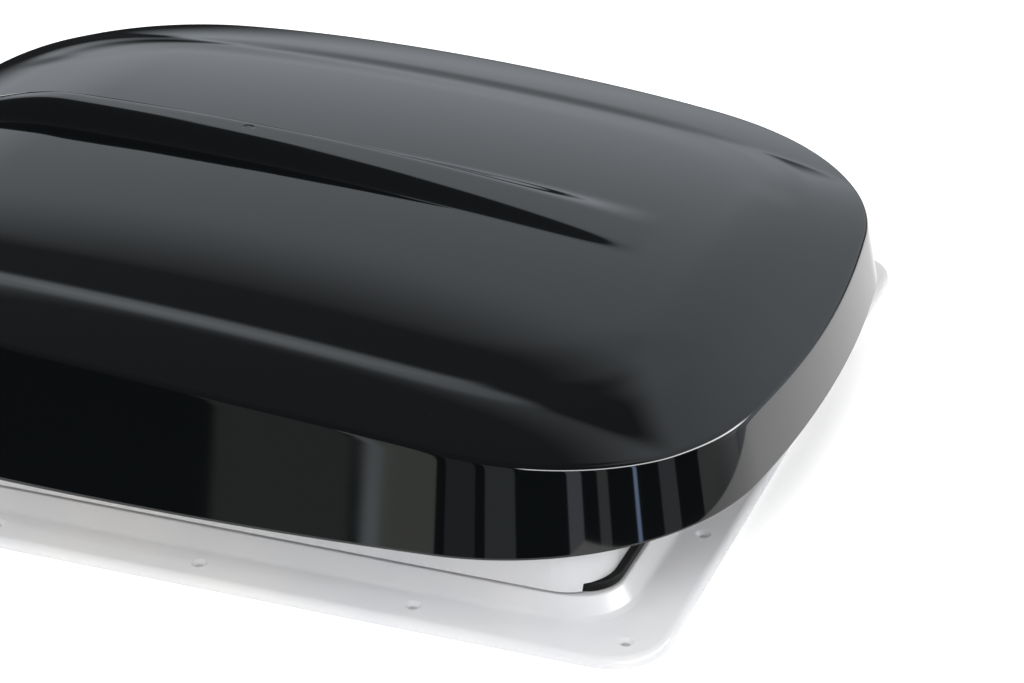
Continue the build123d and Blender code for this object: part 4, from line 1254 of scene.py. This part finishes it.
@dataclass(frozen=True)
class Fixing:
    """A kind of screw, bolt or pin, turned to fit the places that the CAD node gives."""

    node: str
    body: Body
    axis: int
    head: Head | None = Head.ROUND
    head_t: float = 2.4
    cross: bool = True
    pitch: float = 1.25
    thread_depth: float = 0.22
    turns: int = 28
    tip_share: float = 0.55
    tip_rise: float = 0.6
    chamfer: float = 0.3
    flat_rim: float = 0.25
    flat_edge: tuple[tuple[float, float], ...] = ((0.1, -0.05), (0.3, 0.0))
    under_edge: float = 0.15
    crown_share: float = 0.45
    crown_rise: float = 0.96
    crown_steps: int = 6
    slot_reach: float = 0.52
    slot_half: float = 0.45
    slot_taper: float = 0.8
    slot_depth: float = 1.3
    slot_depth_share: float = 0.7

    def profile(self, place: Place) -> Outline:
        """Outline from the tip to the middle of the head's top.

        Args:
            place: Where one of the fixings sits, with its sizes.

        Returns:
            Radius and height of each point in millimetres.
        """
        tip, shank = -place.length, place.shank_r
        full = tip + shank * self.tip_rise
        points = [(0.0, tip), (shank * self.tip_share, tip), (shank, full)]
        neck = -self.head_t
        if self.head is None:
            return points + [(shank, -self.chamfer), (shank - self.chamfer, 0.0), (0.0, 0.0)]
        if self.cross:
            z = full + self.pitch / 2
            while z < neck - self.pitch:
                points += [(shank - self.thread_depth, z), (shank, z + self.pitch / 2)]
                z += self.pitch
        points.append((shank, neck))
        wide = place.head_r
        if self.head is Head.FLAT:
            rim = [(wide - inset, height) for inset, height in self.flat_edge]
            return points + [(wide, -self.flat_rim)] + rim + [(0.0, 0.0)]
        points.append((wide - self.under_edge, neck))
        for share in np.linspace(0.0, 1.0, self.crown_steps):
            angle = share * math.pi / 2
            inset = (1 - math.cos(angle)) * wide * self.crown_share
            points.append((wide - inset, neck * (1 - math.sin(angle) * self.crown_rise)))
        return points + [(0.0, 0.0)]

    def template(self, place: Place) -> Piece:
        """Turn one fixing with its head up at the origin, with a cross recess where it is a screw.

        Args:
            place: Where one of the fixings sits, with its sizes.

        Returns:
            The template, which isn't a piece of the vent itself.
        """
        verts, faces = lathe(self.profile(place), self.turns)
        piece = mesh_piece(f"{self.node}_template", verts, faces, STEEL)
        if not self.cross:
            return piece
        arm, half = place.head_r * self.slot_reach, self.slot_half
        depth = min(self.slot_depth, self.head_t * self.slot_depth_share)
        ring = [(arm, half), (half, half), (half, arm), (-half, arm), (-half, half), (-arm, half)]
        ring += [(-x, -y) for x, y in ring]
        top = [(x, y, 1.0) for x, y in ring]
        low = [(x * self.slot_taper, y * self.slot_taper, -depth) for x, y in ring]
        count = len(ring)
        walls = [(k, k + count, (k + 1) % count + count, (k + 1) % count) for k in range(count)]
        ends = [tuple(range(count)), tuple(range(count, 2 * count))[::-1]]
        cutter = mesh_piece(f"{self.node}_recess", np.array(top + low), walls + ends, STEEL)
        outward(cutter)
        cut_with(piece, cutter)
        return piece

    def build(self) -> None:
        """Set one fixing on every place and stand them in for the CAD node."""
        places = places_of(self.node, self.axis)
        template = self.template(places[0])
        piece = instance_on(self.node + "_turned", template, places, STEEL)
        bpy.data.objects.remove(template)
        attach(piece, self.body.value)
        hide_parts(self.node)


def cut_with(piece: Piece, cutter: Piece) -> None:
    """Take a cutter's shape out of a piece and remove the cutter.

    Args:
        piece: The piece that is cut.
        cutter: The shape that is taken out.
    """
    cut = piece.modifiers.new("cut", "BOOLEAN")
    cut.object = cutter
    settle(piece)
    bpy.data.objects.remove(cutter)


def outward(piece: Piece) -> None:
    """Turn all faces of a closed piece outwards.

    Args:
        piece: The piece, whose mesh is changed.
    """
    work = bmesh.new()
    work.from_mesh(piece.data)
    bmesh.ops.recalc_face_normals(work, faces=work.faces)
    work.to_mesh(piece.data)
    work.free()


def instance_on(name: str, template: Piece, places: list[Place], finish: Finish) -> Piece:
    """Set copies of a template on places with Geometry Nodes, each with its own small turn.

    Args:
        name: Name of the piece.
        template: Object that is copied, head up at the origin.
        places: Where the copies sit and which way they look.
        finish: What they are made of.

    Returns:
        The piece as plain mesh.
    """
    kinds = {"Template": "NodeSocketObject", "Material": "NodeSocketMaterial", "Seed": "NodeSocketInt"}
    tree, source, sink = geometry_tree(f"{name}_tree", kinds)
    info = add_node(tree, "GeometryNodeObjectInfo", {"Object": source.outputs["Template"]})
    aim = add_node(tree, "GeometryNodeInputNamedAttribute", {"Name": "aim"}, {"data_type": "FLOAT_VECTOR"})
    turn = add_node(tree, "FunctionNodeAlignRotationToVector", {"Vector": aim}, {"axis": "Z"})
    any_turn = {2: 0.0, 3: math.tau, "Seed": source.outputs["Seed"]}
    spin = add_node(tree, "FunctionNodeRandomValue", any_turn, {"data_type": "FLOAT"}).outputs[1]
    about = add_node(tree, VECTOR, {"Z": spin})
    spun = add_node(tree, "FunctionNodeRotateRotation", {0: turn, 1: about}, {"rotation_space": "LOCAL"})
    inputs = {"Points": source, "Instance": info.outputs["Geometry"], "Rotation": spun}
    close_tree(tree, source, sink, add_node(tree, "GeometryNodeInstanceOnPoints", inputs))
    seed = bpy.data.meshes.new(f"{name}_places")
    seed.from_pydata([tuple(c * MM for c in place.top) for place in places], [], [])
    way = seed.attributes.new("aim", "FLOAT_VECTOR", "POINT")
    way.data.foreach_set("vector", [c for place in places for c in place.aim])
    return grow(name, tree, {"Template": template, "Material": finish.material(), "Seed": TURN_SEED}, seed)


def swept_ring(
    name: str,
    size: tuple[float, float, float, float],
    corner_r: float,
    profile: Outline,
    finish: Finish,
    corner_steps: int = 14,
) -> Piece:
    """Sweep a closed profile round a rounded rectangle with Geometry Nodes.

    Args:
        name: Name of the piece.
        size: Middle line's width and length, and its middle's X and Z, in millimetres.
        corner_r: Radius of the middle line's corners in millimetres.
        profile: Outline across the middle line: outward distance and height, in millimetres.
        finish: What the ring is made of.
        corner_steps: Steps round each corner.

    Returns:
        The piece as plain mesh.
    """
    kinds = {
        "Width": "NodeSocketFloat",
        "Length": "NodeSocketFloat",
        "Corner": "NodeSocketFloat",
        "Middle": "NodeSocketVector",
        "Steps": "NodeSocketInt",
        "Material": "NodeSocketMaterial",
    }
    tree, source, sink = geometry_tree(f"{name}_tree", kinds)
    given = source.outputs
    box = add_node(tree, "GeometryNodeCurvePrimitiveQuadrilateral", {0: given["Width"], 1: given["Length"]})
    corners = {"Curve": box, "Radius": given["Corner"], "Count": given["Steps"]}
    path = add_node(tree, "GeometryNodeFilletCurve", corners, {"mode": "POLY"})
    placed = add_node(tree, "GeometryNodeTransform", {0: path, "Translation": given["Middle"]})
    outline = add_node(tree, "GeometryNodeMeshToCurve", {0: source})
    swept = add_node(tree, "GeometryNodeCurveToMesh", {0: placed, "Profile Curve": outline})
    close_tree(tree, source, sink, swept)
    seed = bpy.data.meshes.new(f"{name}_profile")
    edges = [(k, (k + 1) % len(profile)) for k in range(len(profile))]
    seed.from_pydata([(u * MM, -v * MM, 0.0) for u, v in profile], edges, [])
    values = {
        "Width": size[0] * MM,
        "Length": size[1] * MM,
        "Corner": corner_r * MM,
        "Middle": (size[2] * MM, 0.0, size[3] * MM),
        "Steps": corner_steps,
        "Material": finish.material(),
    }
    piece = grow(name, tree, values, seed)
    outward(piece)
    return piece


def rounded(points: Outline, radius: float, steps: int = 3) -> Outline:
    """Round the corners of a small outline.

    Args:
        points: Corners in order.
        radius: How far each corner is cut back along its edges.
        steps: Points that replace each corner, less one.

    Returns:
        The rounded outline.
    """
    out = []
    count = len(points)
    for k, point in enumerate(points):
        corner, before, after = (np.array(q, float) for q in (point, points[k - 1], points[(k + 1) % count]))
        start = corner + (before - corner) / np.linalg.norm(before - corner) * radius
        end = corner + (after - corner) / np.linalg.norm(after - corner) * radius
        for t in np.linspace(0, 1, steps + 1):
            out.append(tuple((1 - t) ** 2 * start + 2 * t * (1 - t) * corner + t**2 * end))
    return out


# The rest of the vent


@dataclass
class Housing:
    """White frame with its gasket, and the lid's inner skin with its seal."""

    seal_w: float = 8.0
    seal_edge_r: float = 1.3
    seal_foot: float = 0.22
    seal_lip_w: float = 1.1
    seal_lip_top: float = 0.24
    seal_lip_span: Span = (0.2, 0.72)
    seal_corner_r: float = 12.3
    gasket_corner_r: float = 13.0
    gasket_edge_r: float = 0.25
    hole_r: float = 2.3
    hole_span: Span = (-2.0, 4.0)
    hole_turns: int = 20

    def build(self) -> None:
        """Dress the mouldings and grow the seal and the gasket."""
        for node in ("outer_frame", "lid_pan", "screen_frame", "inner_trim"):
            dress(node, WHITE)
        self.seal()
        self.gasket()

    def seal(self) -> None:
        """Sweep the bulb seal: a flat back glued to the pan, rounded sides and two small lips below."""
        low, high = node_box("lid_seal")
        half, height = self.seal_w / 2, high[2] - low[2]
        foot = height * self.seal_foot
        body = [(-half, height), (-half, foot), (half, foot), (half, height)]
        width, length = high[0] - low[0] - self.seal_w, high[1] - low[1] - self.seal_w
        size = (width, length, (high[0] + low[0]) / 2, low[2])
        corner = self.seal_corner_r + half
        ring = swept_ring("lid_seal_swept", size, corner, rounded(body, self.seal_edge_r), RUBBER)
        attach(ring, Body.LID.value)
        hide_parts("lid_seal")
        top = height * self.seal_lip_top
        for k, way in enumerate((1, -1)):
            inner, outer = (way * half * share for share in self.seal_lip_span)
            lip = rounded([(outer, top), (outer, 0.0), (inner, 0.0), (inner, top)], self.seal_lip_w / 2)
            rib = swept_ring(f"lid_seal_lip_{k}", size, corner, lip, RUBBER)
            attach(rib, Body.LID.value)

    def gasket(self) -> None:
        """Sweep the flat foam ring and punch the holes of the roof screws through it."""
        low, high = node_box("roof_gasket")
        inner = inner_half("roof_gasket")
        wide, tall = high[0] - inner, high[2] - low[2]
        strip = [(-wide / 2, tall), (-wide / 2, 0.0), (wide / 2, 0.0), (wide / 2, tall)]
        middle = 2 * (inner + wide / 2)
        corner = self.gasket_corner_r + wide / 2
        edge = rounded(strip, self.gasket_edge_r, 2)
        ring = swept_ring("roof_gasket_swept", (middle, middle, 0.0, low[2]), corner, edge, FOAM)
        start, end = self.hole_span
        wall = [(0.0, start), (self.hole_r, start), (self.hole_r, end), (0.0, end)]
        verts, faces = lathe(wall, self.hole_turns)
        punch = mesh_piece("gasket_punch", verts, faces, FOAM)
        places = [Place((x, y, 0.0), (0.0, 0.0, 1.0)) for x, y in mount_places()]
        punches = instance_on("gasket_punches", punch, places, FOAM)
        outward(punches)
        cut_with(ring, punches)
        bpy.data.objects.remove(punch)
        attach(ring, Body.FRAME.value)
        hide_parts("roof_gasket")


def node_points(node: str) -> np.ndarray:
    """Points of a CAD node's mesh, in millimetres."""
    return np.array([tuple(vert.co) for vert in frame["nodes"][node].data.vertices]) / MM


def node_box(node: str) -> tuple[np.ndarray, np.ndarray]:
    """Lowest and highest corner of a CAD node's mesh, in millimetres."""
    points = node_points(node)
    return points.min(0), points.max(0)


def inner_half(node: str) -> float:
    """Half the clear width of a square ring-shaped CAD node, in millimetres."""
    return float(np.abs(node_points(node)[:, :2]).max(1).min())


def mount_places() -> list[Span]:
    """Read the places of the sixteen roof screws from the record's mounts.

    A line of screws names its two outer ones, and a third lies midway.

    Returns:
        X and Y of each screw in millimetres.
    """
    places = []
    for mount in frame["record"]["mounts"]:
        if mount["kind"] != "bolt_pattern":
            continue
        x, y = (c / MM for c in mount["pos_m"][:2])
        dx = mount["dims"].get("spacing_x_mm", 0.0) / 2
        dy = mount["dims"].get("spacing_y_mm", 0.0) / 2
        if dx and dy:
            places += [(x + i * dx, y + j * dy) for i in (-1, 1) for j in (-1, 1)]
        else:
            places += [(x + k * dx, y + k * dy) for k in (-1, 0, 1)]
    return places


@dataclass
class Flyscreen:
    """Drop-down flyscreen: woven net held in its frame.

    A real net has a strand about every 1.4 mm. It is drawn with one every 5 mm, so that it shows and
    stays light.
    """

    strands: int = 66
    strand_r: float = 0.33
    sides: int = 4
    edge_gap: float = 1.0
    weave_share: float = 0.9
    flat_mm: float = 334.0

    def build(self) -> None:
        """Grow the net from strands that pass over and under each other."""
        low, high = node_box("screen_net")
        half, middle = float(high[0] - self.edge_gap), float(high[2] + low[2]) / 2
        kinds = {
            "Half": "NodeSocketFloat",
            "Strands": "NodeSocketInt",
            "Radius": "NodeSocketFloat",
            "Sides": "NodeSocketInt",
            "Height": "NodeSocketFloat",
            "Material": "NodeSocketMaterial",
        }
        tree, source, sink = geometry_tree("screen_net_tree", kinds)
        both = tree.nodes.new("GeometryNodeJoinGeometry")
        for across in (False, True):
            tree.links.new(self.warp(tree, source, across).outputs[0], both.inputs[0])
        close_tree(tree, source, sink, both)
        values = {
            "Half": half * MM,
            "Strands": self.strands,
            "Radius": self.strand_r * MM,
            "Sides": self.sides,
            "Height": middle * MM,
            "Material": YARN.material(),
        }
        net = grow("screen_net_woven", tree, values)
        outward(net)
        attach(net, Body.SCREEN.value)
        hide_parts("screen_net")

    def warp(self, tree: Tree, source: Node, across: bool) -> Node:
        """One set of strands: straight in plan, waving up and down past the other set.

        Args:
            tree: The net's tree.
            source: Its input node.
            across: Whether the strands run along Y instead of X.

        Returns:
            The node that gives the strands' mesh.
        """
        given = source.outputs
        half, count, radius = given["Half"], given["Strands"], given["Radius"]
        back = add_node(tree, MATH, {0: half, 1: -1.0}, TIMES)
        ends = {"Start": add_node(tree, VECTOR, {"X": back}), "End": add_node(tree, VECTOR, {"X": half})}
        line = add_node(tree, "GeometryNodeCurvePrimitiveLine", ends)
        knots = add_node(tree, MATH, {0: count, 1: 2.0}, TIMES)
        fine = add_node(tree, "GeometryNodeResampleCurve", {"Curve": line, "Count": knots})
        width = add_node(tree, MATH, {0: half, 1: 2.0}, TIMES)
        pitch = add_node(tree, MATH, {0: width, 1: count}, {"operation": "DIVIDE"})
        low = add_node(tree, MATH, {0: pitch, 1: 0.5, 2: back}, {"operation": "MULTIPLY_ADD"})
        step, first = (add_node(tree, VECTOR, {"Y": y}) for y in (pitch, low))
        run = {"Count": count, "Start Location": first, "Offset": step}
        rows = add_node(tree, "GeometryNodeMeshLine", run, {"mode": "OFFSET"})
        copies = add_node(tree, "GeometryNodeInstanceOnPoints", {"Points": rows, "Instance": fine})
        real = add_node(tree, "GeometryNodeRealizeInstances", {0: copies})
        position = add_node(tree, "GeometryNodeInputPosition")
        place = add_node(tree, "ShaderNodeSeparateXYZ", {0: position}).outputs
        column = add_node(tree, MATH, {0: place["X"], 1: pitch}, {"operation": "DIVIDE"})
        aside = add_node(tree, MATH, {0: place["Y"], 1: half}, {"operation": "ADD"})
        rank = add_node(tree, MATH, {0: aside, 1: pitch}, {"operation": "DIVIDE"})
        row = add_node(tree, MATH, {0: rank}, {"operation": "FLOOR"})
        crossing = add_node(tree, MATH, {0: column, 1: row}, {"operation": "ADD"})
        start = 0.0 if across else math.pi
        phase = add_node(tree, MATH, {0: crossing, 1: math.pi, 2: start}, {"operation": "MULTIPLY_ADD"})
        wave = add_node(tree, MATH, {0: phase}, {"operation": "SINE"})
        reach = add_node(tree, MATH, {0: radius, 1: self.weave_share}, TIMES)
        lift = add_node(tree, MATH, {0: wave, 1: reach, 2: given["Height"]}, {"operation": "MULTIPLY_ADD"})
        rise = add_node(tree, VECTOR, {"Z": lift})
        woven = add_node(tree, "GeometryNodeSetPosition", {"Geometry": real, "Offset": rise})
        round_yarn = {"Resolution": given["Sides"], "Radius": radius}
        yarn = add_node(tree, "GeometryNodeCurvePrimitiveCircle", round_yarn)
        tube = add_node(tree, "GeometryNodeCurveToMesh", {0: woven, "Profile Curve": yarn, "Fill Caps": True})
        turn = (0.0, 0.0, math.pi / 2 if across else 0.0)
        return add_node(tree, "GeometryNodeTransform", {"Geometry": tube, "Rotation": turn})


@dataclass
class Fittings:
    """Hinges, tracks, bow, latches, keepers, caps and nuts."""

    edge_mm: float = 0.45
    thin_edge_mm: float = 0.225
    cap_edge: float = 0.8
    cap_crown: float = 0.35
    cap_flat: float = 0.5
    cap_mid_fall: float = 0.3
    cap_first: float = 0.2
    cap_steps: int = 5
    cap_turns: int = 32
    nut_chamfer: float = 0.5
    nut_bore_r: float = 3.0
    nut_sides: int = 6

    def build(self) -> None:
        """Soften and dress the mouldings and plates, and grow the caps and nuts."""
        for side in SIDES:
            soften(f"hinge_bracket_{side}", Body.FRAME, NYLON, self.edge_mm)
            soften(f"hinge_arm_{side}", Body.LID, NYLON, self.edge_mm)
            soften(f"bow_track_{side}", Body.LID, NYLON, self.thin_edge_mm)
            soften(f"pivot_block_{side}", Body.FRAME, NYLON, self.edge_mm)
            soften(f"keeper_{side}", Body.FRAME, COATED, self.thin_edge_mm)
            dress(f"latch_{side}", NYLON)
            dress(f"bow_sleeve_{side}", NYLON)
            dress(f"screen_clip_{side}", WHITE)
        dress("bow_grip", NYLON)
        dress("lift_bow", COATED)
        self.caps()
        self.nuts()

    def caps(self) -> None:
        """Stand slightly crowned caps over the trim screws, face down."""
        places = places_of("screw_caps", 2)
        radius, thick = places[0].head_r, places[0].length
        edge, crown = self.cap_edge, self.cap_crown
        profile = [(0.0, -thick), (radius, -thick), (radius, -edge - crown)]
        for share in np.linspace(self.cap_first, 1.0, self.cap_steps):
            angle = share * math.pi / 2
            profile.append((radius - edge * (1 - math.cos(angle)), -crown - edge * (1 - math.sin(angle))))
        profile += [(radius * self.cap_flat, -crown * self.cap_mid_fall), (0.0, 0.0)]
        verts, faces = lathe(profile, self.cap_turns)
        cap = mesh_piece("cap_template", verts, faces, WHITE)
        low_z = node_box("screw_caps")[0][2]
        down = [Place((place.top[0], place.top[1], low_z), (0.0, 0.0, -1.0)) for place in places]
        piece = instance_on("screw_caps_crowned", cap, down, WHITE)
        bpy.data.objects.remove(cap)
        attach(piece, Body.FRAME.value)
        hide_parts("screw_caps")

    def nuts(self) -> None:
        """Stand chamfered hexagon nuts on the latch bolts."""
        places = places_of("latch_nuts", 2)
        low, high = node_box("latch_nuts")
        thick = float(high[2] - low[2])
        wide, bore, cut, sides = places[0].head_r, self.nut_bore_r, self.nut_chamfer, self.nut_sides
        rings = [(bore, 0.0), (wide - cut, 0.0), (wide, -cut)]
        rings += [(radius, -thick - z) for radius, z in rings[::-1]]
        verts, faces = [], []
        for ring, (radius, z) in enumerate(rings):
            after = (ring + 1) % len(rings)
            for k in range(sides):
                angle, j = k * math.tau / sides, (k + 1) % sides
                verts.append((radius * math.cos(angle), radius * math.sin(angle), z))
                faces.append((ring * sides + k, ring * sides + j, after * sides + j, after * sides + k))
        nut = mesh_piece("nut_template", np.array(verts), faces, STEEL, smooth=False)
        outward(nut)
        up = [Place((place.top[0], place.top[1], float(high[2])), (0.0, 0.0, 1.0)) for place in places]
        piece = instance_on("latch_nuts_chamfered", nut, up, STEEL)
        piece.data.polygons.foreach_set("use_smooth", [False] * len(piece.data.polygons))
        bpy.data.objects.remove(nut)
        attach(piece, Body.LID.value)
        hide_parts("latch_nuts")


FIXINGS = (
    Fixing("bracket_screws", Body.FRAME, 2),
    Fixing("arm_screws", Body.LID, 2),
    Fixing("track_screws", Body.LID, 2),
    Fixing("block_screws", Body.FRAME, 1),
    Fixing("keeper_screws", Body.FRAME, 0, head_t=1.2),
    Fixing("trim_screws", Body.FRAME, 2, head=Head.FLAT, head_t=1.85),
    Fixing("clip_screws", Body.FRAME, 2),
    Fixing("hinge_pins", Body.FRAME, 1, head_t=2.0, cross=False),
    Fixing("screen_pins", Body.FRAME, 1, head=None, cross=False),
    Fixing("latch_bolts", Body.LID, 2, head_t=2.0, cross=False),
)


def main() -> None:
    """Build the studio and every piece of the vent in order."""
    logging.basicConfig(level=logging.INFO, format="%(name)s: %(message)s")
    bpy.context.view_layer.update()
    builders: list[Callable[[], object]] = [
        Studio().build,
        DomeShell().build,
        Housing().build,
        Flyscreen().build,
        Fittings().build,
        *(fixing.build for fixing in FIXINGS),
    ]
    for build in builders:
        build()


if __name__ == "__main__":
    main()
